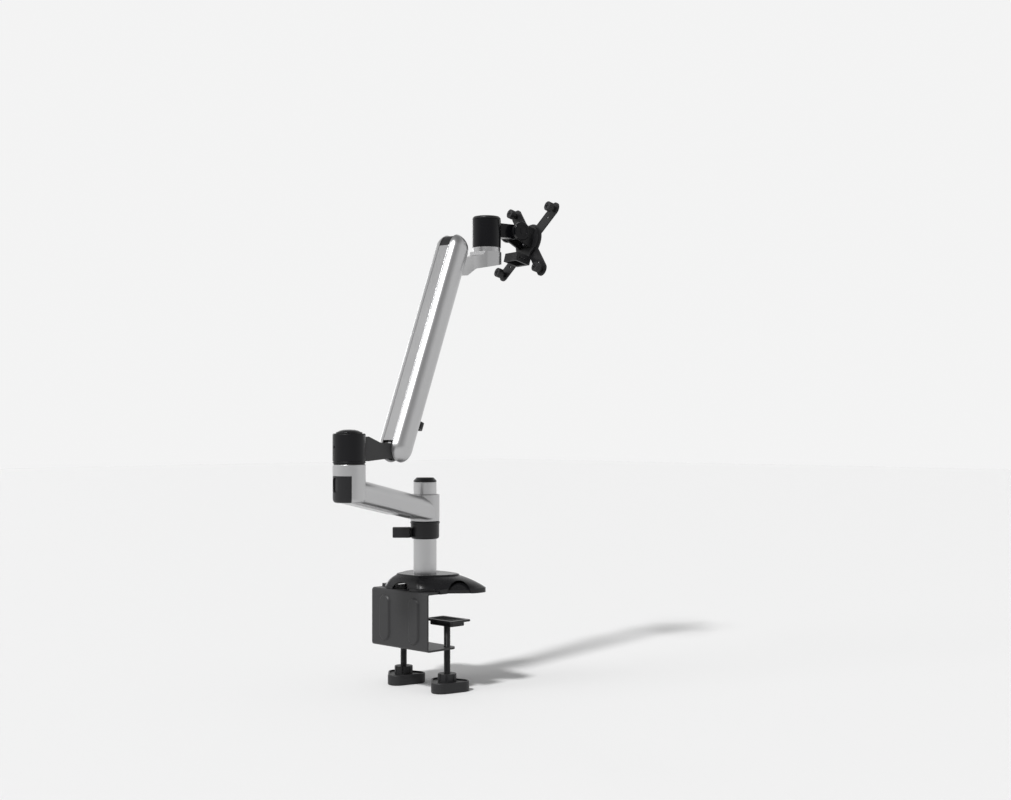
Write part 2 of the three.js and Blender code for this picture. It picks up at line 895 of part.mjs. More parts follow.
// The elbow block about its own axis
function elbowBlock() {
  return turned([
    [0, elbowLow],
    [elbowRadius - elbowRounding, elbowLow],
    [elbowRadius - elbowRounding * 0.3, elbowLow + elbowRounding * 0.3],
    [elbowRadius, elbowLow + elbowRounding],
    [elbowRadius, elbowHigh],
    [0, elbowHigh],
  ]);
}

// A wedge of the elbow block's outer skin, on the side that points away from the pole
function insertFan(inset) {
  const half = rad(insertSpread / 2) - inset / elbowRadius;
  const reach = elbowRadius * 2;
  const fan = shapeOf([
    [0, 0],
    [reach * Math.cos(half), -reach * Math.sin(half)],
    [reach * 2, 0],
    [reach * Math.cos(half), reach * Math.sin(half)],
  ]);
  const core = bar(elbowRadius - insertDepth + inset, elbowLow - overrun, insertTop + overrun);
  return raised(fan, elbowLow - overrun, insertTop - inset).subtract(core);
}

function lowerArm() {
  const length = lowerArmLength / Math.cos(riseAngle);
  const section = archSection(armHalfWidth, armTop, armDrop, armCorner);
  const tube = inclined(loft([sectionAt(section, 0), sectionAt(section, length)]));
  const hub = turned([
    [0, hubLow],
    [hubRadius - hubEdge, hubLow],
    [hubRadius, hubLow + hubEdge],
    [hubRadius, hubHigh - hubEdge],
    [hubRadius - hubEdge, hubHigh],
    [0, hubHigh],
  ]);
  const bushRadius = poleRadius + gap + bushWall;
  const bushSeat = bushHeight + gap;
  const hubBore = join(
    bar(poleRadius + gap * 2, hubLow - overrun, hubHigh + overrun),
    bar(bushRadius + gap, hubLow - overrun, hubLow + bushSeat),
    bar(bushRadius + gap, hubHigh - bushSeat, hubHigh + overrun),
  );
  const stripEnd = length + stripPastElbow;
  const channelEnd = stripEnd + gap * 2;
  const channelHalf = channelWidth / 2;
  const channelTop = channelDepth - armDrop;
  const channel = inclined(
    block(channelStart, channelEnd, -channelHalf, channelHalf, -armDrop - overrun, channelTop),
  );
  const toElbow = [lowerArmLength, 0, 0];
  const axleBore = bar(axleRadius + gap, elbowLow + axleFoot, elbowHigh + overrun, smallSides);
  const elbow = elbowBlock().subtract(insertFan(0)).translate(toElbow);
  const beyond = block(lowerArmLength, lowerArmLength + elbowRadius * 4, -overrun, overrun, 0, elbowHigh);
  const casting = join(hub, cut(tube, beyond), elbow);
  const bored = cut(casting, hubBore, channel, axleBore.translate(toElbow));
  piece(lowerFrame, "lower_arm", bored, silver);

  for (const [name, low] of [
    ["hub_bush_lower", hubLow],
    ["hub_bush_upper", hubHigh - bushHeight],
  ]) {
    piece(lowerFrame, name, ring(poleRadius + gap, bushRadius, low, low + bushHeight), blackPlastic);
  }

  const stripHalf = channelHalf - gap;
  const stripLow = -armDrop - stripThickness / 2;
  const stripOutline = roundedRectangle(stripStart, stripEnd, -stripHalf, stripHalf, stripHalf * 0.4);
  const strip = inclined(raised(stripOutline, stripLow, stripLow + stripThickness));
  piece(lowerFrame, "lower_cable_cover", strip, silver);

  const windowOutline = roundedRectangle(
    -windowWidth / 2,
    windowWidth / 2,
    elbowLow + windowLow,
    elbowLow + windowHigh,
    windowCorner,
  );
  const recess = sideways(windowOutline, 0, overrun)
    .rotate([0, 0, windowTurn - 90])
    .subtract(bar(elbowRadius - windowDepth, elbowLow, elbowHigh));
  const insert = cut(elbowBlock().intersect(insertFan(gap)), recess);
  piece(lowerFrame, "elbow_insert", insert.translate(toElbow), blackPlastic);

  const axle = bar(axleRadius, elbowLow + axleFoot + gap, axleTop, smallSides);
  piece(lowerFrame, "elbow_axle", axle.translate(toElbow), steel);
  const thread = bar(axleRadius + gap, axleTop - overrun, axleTop + overrun, smallSides);
  const nut = bar(nutRadius, nutTop - nutHeight, nutTop, 6).subtract(thread);
  piece(lowerFrame, "elbow_nut", nut.translate(toElbow), steel);
}
lowerArm();

// Elbow: washer, pivot bracket on the axle, and the housing with its cap round the bracket's hub
const elbowX = lowerArmLength * Math.cos(rad(lowerArmAngle));
const elbowY = lowerArmLength * Math.sin(rad(lowerArmAngle));
const upperFrame = frameAt(monitorArm, elbowX, elbowY, 0, upperArmAngle);
const housingBore = elbowRadius - housingWall;

// Cross bars at the link's pin and, opposite it, at the spring's pin
function pinBars(radius, halfLength, sides) {
  return [1, -1].map((sign) => {
    const bars = crossBar(radius, -halfLength, halfLength, sides);
    return bars.translate([pivotReach + sign * linkX, 0, pivotHeight + sign * linkZ]);
  });
}

function pivotBracket() {
  const high = housingHigh + overrun;
  const low = elbowLow;
  const wide = wedgeHalfWidth * 2;
  const rootX = elbowRadius + wedgeStart;
  const bendX = THREE.MathUtils.lerp(rootX, pivotReach, wedgeBendShare);
  const taperX = THREE.MathUtils.lerp(rootX, pivotReach, wedgeTaperShare);
  const farX = pivotReach + overrun;
  const wedgeOutline = shapeOf([
    [0, wedgeLow],
    [rootX, wedgeLow],
    [pivotReach, pivotHeight - noseRadius],
    [pivotReach, pivotHeight + noseRadius],
    [bendX, pivotHeight + noseRadius + wedgeBendRise],
    [rootX, wedgeHigh],
    [0, wedgeHigh],
  ]);
  const wedgePlan = shapeOf([
    [0, -wedgeHalfWidth],
    [rootX, -wedgeHalfWidth],
    [taperX, -noseHalfWidth],
    [farX, -noseHalfWidth],
    [farX, noseHalfWidth],
    [taperX, noseHalfWidth],
    [rootX, wedgeHalfWidth],
    [0, wedgeHalfWidth],
  ]);
  const nose = crossBar(noseRadius, -wide, wide, middleSides).translate([pivotReach, 0, pivotHeight]);
  const side = join(sideways(wedgeOutline, -wide, wide), nose, ...pinBars(lugRadius, wide, smallSides));
  const wedge = side.intersect(raised(wedgePlan, low, high));
  const hub = bar(housingBore - gap, housingLow + gap, wedgeHigh);
  const slotHalf = linkThickness / 2 + gap;
  const slot = block(pivotReach - wedgeSlotDepth, farX, -slotHalf, slotHalf, low, high);
  const pivotHole = crossBar(pivotPinRadius + gap, -wide, wide, smallSides);
  const bracket = cut(
    join(hub, wedge),
    slot,
    bar(axleRadius + gap, low, high, smallSides),
    bar(nutRadius + nutInset, nutTop - nutHeight - gap, high, middleSides),
    pivotHole.translate([pivotReach, 0, pivotHeight]),
    ...pinBars(linkPinRadius + gap, wide, smallSides),
  );
  piece(upperFrame, "pivot_bracket", bracket, blackPaint);
  const [linkPin, springPin] = pinBars(linkPinRadius, noseHalfWidth, smallSides);
  piece(upperFrame, "link_pin_lower", linkPin, steel);
  piece(upperFrame, "spring_pin_lower", springPin, steel);
}

function elbowHousing() {
  const washer = ring(axleRadius + gap, elbowRadius - washerThickness, elbowHigh + gap, washerTop);
  piece(upperFrame, "elbow_washer", washer, blackPlastic);

  const groove = housingLow + grooveRise;
  const shell = turned([
    [housingBore, housingLow],
    [elbowRadius, housingLow],
    [elbowRadius, groove],
    [elbowRadius - housingGroove, groove + housingGroove],
    [elbowRadius, groove + housingGroove * 2],
    [elbowRadius, housingHigh - housingEdge],
    [elbowRadius - housingEdge, housingHigh],
    [housingBore, housingHigh],
    [housingBore, housingLow],
  ]);
  const windowHalf = wedgeHalfWidth + gap;
  const opening = block(0, elbowRadius * 2, -windowHalf, windowHalf, wedgeLow - gap, wedgeHigh + gap);
  const grubHole = longBar(grubRadius, housingBore / 2, elbowRadius + overrun, smallSides)
    .rotate([0, 0, grubTurn])
    .translate([0, 0, (housingLow + housingHigh) / 2 + grubRadius]);
  piece(upperFrame, "elbow_housing", cut(shell, opening, grubHole), blackPlastic);

  const seat = housingHigh + gap;
  const step = seat + lidStepHeight;
  const lid = turned([
    [0, housingHigh - lidPlug],
    [housingBore - gap, housingHigh - lidPlug],
    [housingBore - gap, seat],
    [lidRadius, seat],
    [lidRadius - housingEdge, step],
    [domeRadius, step],
    [domeRadius * 0.85, step + domeHeight * 0.45],
    [domeRadius * 0.5, step + domeHeight * 0.9],
    [0, step + domeHeight],
  ]);
  piece(upperFrame, "elbow_cap", lid, blackPlastic);
}
pivotBracket();
elbowHousing();

// Upper arm: hollow shell with domed ends and a slot along its back, in a frame that lies along the arm
const liftFrame = new THREE.Group();
liftFrame.position.set(pivotReach, 0, pivotHeight);
liftFrame.rotation.y = -rad(upperArmLift);
upperFrame.add(liftFrame);
const armEnd = upperArmLength + upperDome + shellRadius;
const backStripEnd = upperArmLength + upperDome - backStripInset;
const springEye = upperArmLength - springEyeInset;
const springEnd = springEye - springTail;
const springStart = springEnd - springLength;

function shellSkin(inset) {
  const radius = shellRadius - inset;
  const section = archSection(radius, radius, shellBack - inset, shellCorner - inset, true);
  const rings = [];
  const domeSteps = 3;
  const tipShare = 0.06;
  for (let step = domeSteps; step >= 0; step -= 1) {
    const turn = (Math.PI / 2) * (step / domeSteps);
    const scale = Math.max(Math.cos(turn), tipShare);
    rings.push(sectionAt(section, lowerDome - radius * Math.sin(turn), scale));
  }
  for (let step = 0; step <= domeSteps; step += 1) {
    const turn = (Math.PI / 2) * (step / domeSteps);
    const scale = Math.max(Math.cos(turn), tipShare);
    rings.push(sectionAt(section, upperArmLength + upperDome + radius * Math.sin(turn), scale));
  }
  return loft(rings);
}

// Two bosses that face each other across the shell, trimmed to its skin
function bossPair(radius, x, z, start) {
  const end = shellRadius + overrun;
  const both = join(crossBar(radius, start, end, middleSides), crossBar(radius, -end, -start, middleSides));
  return both.translate([x, 0, z]).intersect(shellSkin(0));
}

function upperArmShell() {
  const bossStart = noseHalfWidth + gap;
  const bosses = join(
    bossPair(pivotBossRadius, 0, 0, bossStart),
    bossPair(pivotBossRadius, upperArmLength, 0, bossStart),
    bossPair(springBossRadius, springEye, -springDrop, springEyeHalfWidth + gap),
  );
  const half = slotHalfWidth;
  const before = -shellRadius - overrun;
  const after = armEnd + overrun;
  const noseRoom = linkOffset + lugRadius + gap;
  const backSlot = block(before, after, -half, half, shellBack - shellWall * 2, overrun);
  const lowerSlot = block(before, backStripStart - gap, -half, half, -noseRoom, overrun);
  const neckStart = upperArmLength - noseRadius - shellWall;
  const upperSlot = block(neckStart, after, -half, half, -shellRadius - overrun, overrun);
  const pinEnd = shellRadius - pivotPinHead;
  const headSeat = shellRadius - pivotPinRecess - pivotPinHeadHeight;
  const pinRooms = [0, upperArmLength].map((x) => {
    const shank = crossBar(pivotPinRadius + gap, -pinEnd - gap, overrun, smallSides);
    const head = crossBar(pivotPinHead + gap, headSeat - gap, overrun, smallSides);
    return join(shank, head).translate([x, 0, 0]);
  });
  const pinHalf = springPinHalfLength + gap;
  const springPinRoom = crossBar(springPinRadius + gap, -pinHalf, pinHalf, smallSides);
  const shell = cut(
    join(shellSkin(0).subtract(shellSkin(shellWall)), bosses),
    backSlot,
    lowerSlot,
    upperSlot,
    ...pinRooms,
    springPinRoom.translate([springEye, 0, -springDrop]),
  );
  piece(liftFrame, "upper_arm_shell", shell, silver);

  for (const [name, x] of [
    ["lower_pivot_pin", 0],
    ["upper_pivot_pin", upperArmLength],
  ]) {
    const shank = crossBar(pivotPinRadius, -pinEnd, headSeat + pivotPinHeadHeight / 2, smallSides);
    const head = crossBar(pivotPinHead, headSeat, headSeat + pivotPinHeadHeight, smallSides);
    piece(liftFrame, name, join(shank, head).translate([x, 0, 0]), steel);
  }

  const stripHalf = slotHalfWidth - gap;
  const stripLow = shellBack - backStripThickness;
  const strip = block(backStripStart, backStripEnd, -stripHalf, stripHalf, stripLow, shellBack);
  piece(liftFrame, "upper_arm_cover", strip, silver);

  const plugSkin = shellSkin(plugInset).subtract(shellSkin(plugInset + plugWall));
  const plugRoom = block(backStripEnd + gap, armEnd, -stripHalf, stripHalf, plugLow + gap, overrun);
  piece(liftFrame, "upper_end_plug", plugSkin.intersect(plugRoom), blackPlastic);
}

function cableClip() {
  const bore = longBar(clipBore, -overrun, overrun, smallSides);
  const hoop = longBar(clipRadius, -clipHalfLength, clipHalfLength, smallSides);
  const mouth = block(-overrun, overrun, 0, overrun, -clipMouth / 2, clipMouth / 2);
  const footHalf = clipFootWidth / 2;
  const footHigh = clipRadius * 1.4;
  const foot = block(-clipHalfLength, clipHalfLength, -footHalf, footHalf, clipBore, footHigh);
  const clip = cut(hoop, bore, mouth.rotate([clipTurn, 0, 0])).add(foot.subtract(bore));
  const seated = clip.translate([clipPlace, 0, -shellRadius - clipRadius * 1.3]);
  const room = longBar(shellRadius + gap, 0, upperArmLength);
  piece(liftFrame, "cable_clip", seated.subtract(room), blackPlastic);
}

// A point beside a pivot, given in the upright frame, as it lies in the arm's own frame
function alongArm(x, z) {
  const lift = rad(upperArmLift);
  return [x * Math.cos(lift) + z * Math.sin(lift), z * Math.cos(lift) - x * Math.sin(lift)];
}

// Gas spring: the cylinder is pinned in the shell, and its rod reaches down to the pivot bracket
function gasSpring() {
  const down = [0, 0, -springDrop];
  const toEye = [springEye, 0, 0];
  const halfWidth = springEyeHalfWidth;
  const body = join(
    longBar(springRadius, springStart, springEnd, middleSides),
    longBar(springRodRadius, springEnd - springEyeRadius, springEye, smallSides),
    crossBar(springEyeRadius, -halfWidth, halfWidth, smallSides).translate(toEye),
  );
  const rodRoomEnd = springStart + springRodDepth;
  const bores = join(
    longBar(springRodRadius + gap, springStart - overrun, rodRoomEnd, smallSides),
    crossBar(springPinRadius + gap, -overrun, overrun, smallSides).translate(toEye),
  );
  piece(liftFrame, "gas_spring_cylinder", body.subtract(bores).translate(down), blackPaint);
  const pin = crossBar(springPinRadius, -springPinHalfLength, springPinHalfLength, smallSides);
  piece(liftFrame, "spring_pin_upper", pin.translate(toEye).translate(down), steel);

  const [eyeX] = alongArm(-linkX, -linkZ);
  const half = linkThickness / 2;
  const neckEnd = eyeX + rodNeckLength;
  const slotShape = new THREE.Shape();
  slotShape.absarc(0, rodSlotHigh, linkPinRadius + gap, 0, Math.PI, false);
  slotShape.absarc(0, -rodSlotLow, linkPinRadius + gap, Math.PI, Math.PI * 2, false);
  const rod = cut(
    join(
      crossBar(rodEyeRadius, -half, half, middleSides).translate([eyeX, 0, (rodSlotHigh - rodSlotLow) / 2]),
      block(eyeX, neckEnd + half, -half, half, -half, half),
      longBar(springRodRadius, neckEnd, rodRoomEnd - springRodTravel, smallSides),
    ),
    sideways(slotShape, -overrun, overrun, 8).translate([eyeX, 0, 0]),
  );
  piece(liftFrame, "gas_spring_rod", rod.translate(down), steel);
}

// Parallel link: keeps the head level, and lies beside the gas spring
function parallelLink() {
  const [lowX, lowZ] = alongArm(linkX, linkZ);
  const half = linkThickness / 2;
  const ends = [lowX, lowX + upperArmLength];
  const body = block(ends[0], ends[1], -half, half, -linkHeight / 2, linkHeight / 2);
  const eyes = ends.map((x) => crossBar(linkEyeRadius, -half, half, smallSides).translate([x, 0, 0]));
  const hole = crossBar(linkPinRadius + gap, -overrun, overrun, smallSides);
  const holes = ends.map((x) => hole.translate([x, 0, 0]));
  piece(liftFrame, "parallel_link", cut(join(body, ...eyes), ...holes).translate([0, 0, lowZ]), steel);
}
upperArmShell();
cableClip();
gasSpring();
parallelLink();

// Head bracket: a lug on the upper pivot pin, a deepening fin and a round seat for the swivel
const upperPivotX = pivotReach + upperArmLength * Math.cos(rad(upperArmLift));
const upperPivotZ = pivotHeight + upperArmLength * Math.sin(rad(upperArmLift));
const bracketFrame = frameAt(upperFrame, upperPivotX, 0, upperPivotZ);

function headBracket() {
  const seatHeight = headRise - gap;
  const bodyTop = seatHeight - seatBossHeight;
  const bodyEnd = headOffset + headRadius + seatOverhang;
  const [neckX, middleX, flareX] = finNeckShares.map((share) => share * headOffset);
  const wide = headRadius * 2;
  const seatX = headOffset - headRadius;
  const outline = shapeOf([
    [0, -noseRadius],
    [neckX, -finNeckDepth],
    [middleX, -finNeckDepth + seatOverhang],
    [flareX, -finMiddleDepth],
    [bodyEnd - noseRadius, finEndLow - cheekMargin],
    [bodyEnd, finEndLow],
    [bodyEnd, bodyTop],
    [seatX, bodyTop],
    [seatX - baseThickness / 2, finShoulder],
    [middleX, finTop],
    [0, noseRadius],
  ]);
  const plan = new THREE.Shape();
  const flareEnd = seatX + headEdge;
  const flareHalf = headRadius - headFloor;
  const radius = headRadius + seatOverhang;
  plan.moveTo(-overrun, -noseHalfWidth);
  plan.lineTo(flareX - finFlare / 2, -noseHalfWidth);
  plan.quadraticCurveTo(flareX + finFlare / 2, -noseHalfWidth, flareEnd + headWall, -flareHalf);
  plan.absarc(headOffset, 0, radius, -Math.PI / 2, Math.PI / 2, false);
  plan.lineTo(flareEnd + headWall, flareHalf);
  plan.quadraticCurveTo(flareX + finFlare / 2, noseHalfWidth, flareX - finFlare / 2, noseHalfWidth);
  plan.lineTo(-overrun, noseHalfWidth);
  const linkPlace = [linkX, 0, linkZ];
  const side = join(
    sideways(outline, -wide, wide),
    crossBar(noseRadius, -wide, wide, middleSides),
    crossBar(lugRadius, -wide, wide, smallSides).translate(linkPlace),
  );
  const body = side.intersect(raised(plan, -overrun, overrun, 12));
  const boss = bar(headRadius - headEdge, bodyTop - headEdge, seatHeight).translate([headOffset, 0, 0]);
  const slotHalf = linkThickness / 2 + gap;
  const axleHole = bar(headAxleRadius + gap, headAxleSeat, overrun, smallSides);
  const bracket = cut(
    join(body, boss),
    block(-overrun, cheekMargin, -slotHalf, slotHalf, -overrun, overrun),
    crossBar(pivotPinRadius + gap, -wide, wide, smallSides),
    crossBar(linkPinRadius + gap, -wide, wide, smallSides).translate(linkPlace),
    axleHole.translate([headOffset, 0, 0]),
  );
  piece(bracketFrame, "head_bracket", bracket, silver);
  const pin = crossBar(linkPinRadius, -noseHalfWidth, noseHalfWidth, smallSides);
  piece(bracketFrame, "link_pin_upper", pin.translate(linkPlace), steel);

  const top = headRise + headHeight - headNutInset;
  const axle = join(
    bar(headAxleRadius, headAxleSeat + gap, top, smallSides),
    bar(headNutRadius, top - headNutHeight, top, 6),
  );
  piece(bracketFrame, "head_axle", axle.translate([headOffset, 0, 0]), steel);
}
headBracket();

// Swivel head: housing on the head axle, with the barrel of the tilt joint
const headFrame = frameAt(bracketFrame, headOffset, 0, 0, headYaw - upperArmAngle);
const tiltHeight = headRise + tiltRise;

function swivelHead() {
  const top = headRise + headHeight;
  const bore = headAxleRadius + gap;
  const inner = headRadius - headWall;
  const hubTop = top - headHubInset;
  const housing = turned([
    [bore, headRise],
    [headRadius - headEdge, headRise],
    [headRadius, headRise + headEdge],
    [headRadius, top],
    [inner, top],
    [inner, headRise + headFloor],
    [headHub, headRise + headFloor],
    [headHub, hubTop],
    [bore, hubTop],
    [bore, headRise],
  ]);
  const neckLow = tiltHeight - neckHeight / 2;
  const neckStart = headRadius - headWall / 2;
  const neck = block(
    -neckHalfWidth,
    neckHalfWidth,
    neckStart,
    tiltReach,
    neckLow,
    neckLow + neckHeight,
  );
  const toTilt = [0, tiltReach, tiltHeight];
  const barrel = longBar(barrelRadius, -barrelHalfLength, barrelHalfLength, middleSides).translate(toTilt);
  const tiltBore = longBar(tiltAxleRadius + gap, -overrun, overrun, smallSides).translate(toTilt);
  piece(headFrame, "swivel_housing", cut(join(housing, neck, barrel), tiltBore), blackGloss);

  const seat = top + gap;
  const step = headRadius - headEdge / 2;
  const lid = turned([
    [0, top - headCapPlug],
    [inner - gap, top - headCapPlug],
    [inner - gap, seat],
    [step, seat],
    [step, seat + headCapStep],
    [step - headCapStep, top + headCapHeight],
    [0, top + headCapHeight],
  ]);
  piece(headFrame, "swivel_cap", lid, blackPlastic);
}
swivelHead();

// Tilt bracket: two cheeks beside the barrel, a lower box and a round base that carries the plate
const tiltFrame = new THREE.Group();
tiltFrame.position.set(0, tiltReach, tiltHeight);
tiltFrame.rotation.x = -rad(tiltAngle);
headFrame.add(tiltFrame);
const baseFace = plateOffset - gap;
const baseBack = baseFace - baseThickness;
const cheekInner = barrelHalfLength + gap;
const cheekOuter = cheekInner + cheekThickness;

function cheek(start, end) {
  const round = barrelRadius + cheekMargin;
  const foot = baseBack + cheekMargin;
  const outline = shapeOf([
    [0, -round],
    [foot, -barrelRadius - cheekDrop],
    [foot, round],
    [0, round],
  ]);
  const slab = join(raised(outline, start, end), bar(round, start, end, middleSides));
  return slab.rotate([90, 0, 0]).rotate([0, 0, 90]);
}

function tiltBracket() {
  const down = [0, 0, -plateDrop];
  const base = crossBar(baseRadius, baseBack, baseFace).translate(down);
  const apron = block(-cheekOuter, cheekOuter, baseBack, baseFace, boxLow, 0);
  const box = block(-cheekOuter, cheekOuter, boxBack, baseFace - cheekMargin, boxLow, boxHigh);
  const boxRoomHigh = boxHigh - boxWall;
  const boxRoomBack = boxBack + boxWall;
  const boxRoom = block(-cheekInner, cheekInner, boxRoomBack, baseBack, boxLow - overrun, boxRoomHigh);
  const holes = [];
  for (let index = 0; index < boxHoleCount; index += 1) {
    const y = boxRoomBack + boxWall + index * boxHoleSpacing;
    holes.push(longBar(boxHoleRadius, 0, overrun, 8).translate([0, y, (boxLow + boxHigh) / 2]));
  }
  const cheeks = [cheek(cheekInner, cheekOuter), cheek(-cheekOuter, -cheekInner)];
  const bracket = cut(
    join(base, apron, box, ...cheeks),
    longBar(tiltAxleRadius + gap, -overrun, overrun, smallSides),
    crossBar(platePivotRadius + gap, 0, overrun * 2, smallSides).translate(down),
    boxRoom,
    ...holes,
  );
  piece(tiltFrame, "tilt_bracket", bracket, blackPaint);

  const axleEnd = cheekOuter + gap;
  piece(tiltFrame, "tilt_axle", longBar(tiltAxleRadius, -axleEnd, axleEnd, smallSides), steel);
  const pocketEnd = axleEnd + gap;
  const pocket = longBar(tiltAxleRadius + gap, -pocketEnd, pocketEnd, smallSides);
  const discEnd = axleEnd + tiltDiscThickness;
  const disc = turned(
    [
      [0, axleEnd],
      [tiltDiscRadius, axleEnd],
      [tiltDiscRadius, discEnd - tiltDiscEdge],
      [tiltDiscRadius - tiltDiscEdge, discEnd],
      [0, discEnd],
    ],
    middleSides,
  );
  for (const [name, turn] of [
    ["tilt_disc_right", 90],
    ["tilt_disc_left", -90],
  ]) {
    piece(tiltFrame, name, disc.rotate([0, turn, 0]).subtract(pocket), blackPlastic);
  }
}
tiltBracket();

// Plate: a cross with the holes of both patterns, on a countersunk pivot, with four thumbscrews
const plateFrame = new THREE.Group();
plateFrame.position.set(0, 0, -plateDrop);
tiltFrame.add(plateFrame);

// Turns a body about Z so that its axis lies along Y, which is the plate's normal
function facingPlate(shape) {
  return shape.rotate([-90, 0, 0]);
}

function screenPlate() {
  const front = plateOffset + plateThickness;
  const reach = (vesaLarge / 2) * Math.SQRT2;
  const armOutline = new THREE.Shape();
  armOutline.absarc(reach, 0, plateArmHalfWidth, -Math.PI / 2, Math.PI / 2, false);
  armOutline.absarc(-reach, 0, plateArmHalfWidth, Math.PI / 2, Math.PI * 1.5, false);
  const straps = [45, -45].map((turn) => sideways(armOutline, plateOffset, front).rotate([0, turn, 0]));
  const centre = crossBar(plateCentreRadius, plateOffset, front);
  const corners = [1, -1].flatMap((sideX) => [1, -1].map((sideZ) => [sideX, sideZ]));
  const hole = crossBar(vesaHoleRadius, 0, overrun * 2, smallSides);
  const holes = [vesaLarge / 2, vesaSmall / 2].flatMap((half) =>
    corners.map(([sideX, sideZ]) => hole.translate([sideX * half, 0, sideZ * half])),
  );
  const sinkRadius = platePivotHead + gap;
  const shankRadius = platePivotRadius + gap;
  const sink = turned([
    [0, baseBack],
    [shankRadius, baseBack],
    [shankRadius, plateOffset],
    [sinkRadius, front],
    [sinkRadius, front + gap],
    [0, front + gap],
  ]);
  piece(plateFrame, "vesa_plate", cut(join(centre, ...straps), ...holes, facingPlate(sink)), blackPaint);

  const flangeFace = baseBack - gap;
  const pivot = turned(
    [
      [0, flangeFace - platePivotDepth],
      [platePivotFlange, flangeFace - platePivotDepth],
      [platePivotFlange, flangeFace],
      [platePivotRadius, flangeFace],
      [platePivotRadius, plateOffset],
      [platePivotHead - gap, front - gap],
      [0, front - gap],
    ],
    middleSides,
  );
  piece(plateFrame, "plate_pivot", facingPlate(pivot), steel);

  const seat = plateOffset - gap;
  const neckLow = seat - thumbNeck;
  const thumbLow = neckLow - thumbHeight;
  const screw = turned(
    [
      [0, thumbLow],
      [thumbRadius, thumbLow],
      [thumbRadius, neckLow],
      [thumbNeckRadius, neckLow],
      [thumbNeckRadius, seat],
      [thumbScrewRadius, seat],
      [thumbScrewRadius, front + thumbScrewReach],
      [0, front + thumbScrewReach],
    ],
    smallSides,
  );
  corners.forEach(([sideX, sideZ], index) => {
    const place = [(sideX * vesaLarge) / 2, 0, (sideZ * vesaLarge) / 2];
    piece(plateFrame, `thumbscrew_${index + 1}`, facingPlate(screw).translate(place), blackPlastic);
  });
}
screenPlate();

export default monitorArm;
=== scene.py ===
"""Looks of the desk-clamp monitor arm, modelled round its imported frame.

Shapes are modelled in millimetres in local frames: one for the clamp and pole, and one for each
hinged part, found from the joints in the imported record.
"""
import json
import math

import bmesh
import bpy
from mathutils import Matrix, Vector


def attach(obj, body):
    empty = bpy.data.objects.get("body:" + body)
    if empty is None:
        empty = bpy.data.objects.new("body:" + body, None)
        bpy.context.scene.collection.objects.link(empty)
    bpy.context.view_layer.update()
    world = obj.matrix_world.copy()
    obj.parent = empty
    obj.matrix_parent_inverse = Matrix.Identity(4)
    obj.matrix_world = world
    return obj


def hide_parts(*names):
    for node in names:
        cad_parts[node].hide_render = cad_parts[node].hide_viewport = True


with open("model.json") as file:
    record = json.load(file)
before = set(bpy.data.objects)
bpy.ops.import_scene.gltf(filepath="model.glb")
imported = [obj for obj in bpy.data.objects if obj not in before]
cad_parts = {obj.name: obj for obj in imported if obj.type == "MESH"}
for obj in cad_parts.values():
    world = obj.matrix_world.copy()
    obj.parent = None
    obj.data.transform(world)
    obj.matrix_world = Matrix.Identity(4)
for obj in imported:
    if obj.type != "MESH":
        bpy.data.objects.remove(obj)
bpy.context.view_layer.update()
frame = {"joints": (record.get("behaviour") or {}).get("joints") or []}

MM = 0.001
FINE = 96
MEDIUM = 48
SMALL = 24
HEXAGON = 6
GAP = 0.3
NEAR = 40
FAR = 80
TALL = 300
TOUCHING = 1e-4

# Frames of the moving parts


def axes(origin, forward, up):
    """A frame in millimetres at origin: x runs forward, z up, and y to the left."""
    x = Vector(forward).normalized()
    z = Vector(up).normalized()
    y = z.cross(x)
    turn = Matrix((x, y, z)).transposed().to_4x4()
    return Matrix.Translation(Vector(origin)) @ turn


joints = {joint["name"]: joint for joint in frame["joints"]}


def pivot(name):
    """The place of a hinge in millimetres."""
    return Vector(joints[name]["pos_m"]) / MM


lift_axis = Vector(joints["lift"]["axis"])
arm_axis = Vector(joints["spring_stroke"]["axis"])
plan_axis = Vector((-lift_axis.y, lift_axis.x, 0))
elbow_ground = Vector((pivot("elbow_turn").x, pivot("elbow_turn").y, 0))
tilt_axis = Vector(joints["tilt"]["axis"])
plate_normal = Vector(joints["plate_turn"]["axis"])
head_ground = pivot("head_turn")
collar_turn = math.radians(-135)

GROUND = Matrix.Identity(4)
COLLAR = Matrix.Rotation(collar_turn, 4, "Z")
LOWER = axes((0, 0, 0), elbow_ground, (0, 0, 1))
ELBOW = axes(elbow_ground, plan_axis, (0, 0, 1))
ARM = axes(pivot("lift"), arm_axis, lift_axis.cross(arm_axis))
BRACKET = axes(pivot("head_level"), plan_axis, (0, 0, 1))
HEAD = axes(
    (head_ground.x, head_ground.y, pivot("head_level").z),
    (-tilt_axis.x, -tilt_axis.y, 0),
    (0, 0, 1),
)
PLATE = axes(pivot("plate_turn"), -tilt_axis, (-tilt_axis).cross(plate_normal))
TILT = axes(pivot("tilt"), -tilt_axis, (-tilt_axis).cross(plate_normal))

# Shapes, in millimetres


def eased(profile, radius=0.6, steps=3, side_shares=2.1):
    """A profile whose inner corners are rounded, each over at most its share of a side."""
    points = [Vector(place) for place in profile]
    kept = [points[0]]
    for before, corner, after in zip(points, points[1:], points[2:]):
        back, ahead = before - corner, after - corner
        reach = min(radius, back.length / side_shares, ahead.length / side_shares)
        start = corner + back.normalized() * reach
        end = corner + ahead.normalized() * reach
        for step in range(steps + 1):
            share = step / steps
            kept.append(start.lerp(corner, share).lerp(corner.lerp(end, share), share))
    return kept + [points[-1]]


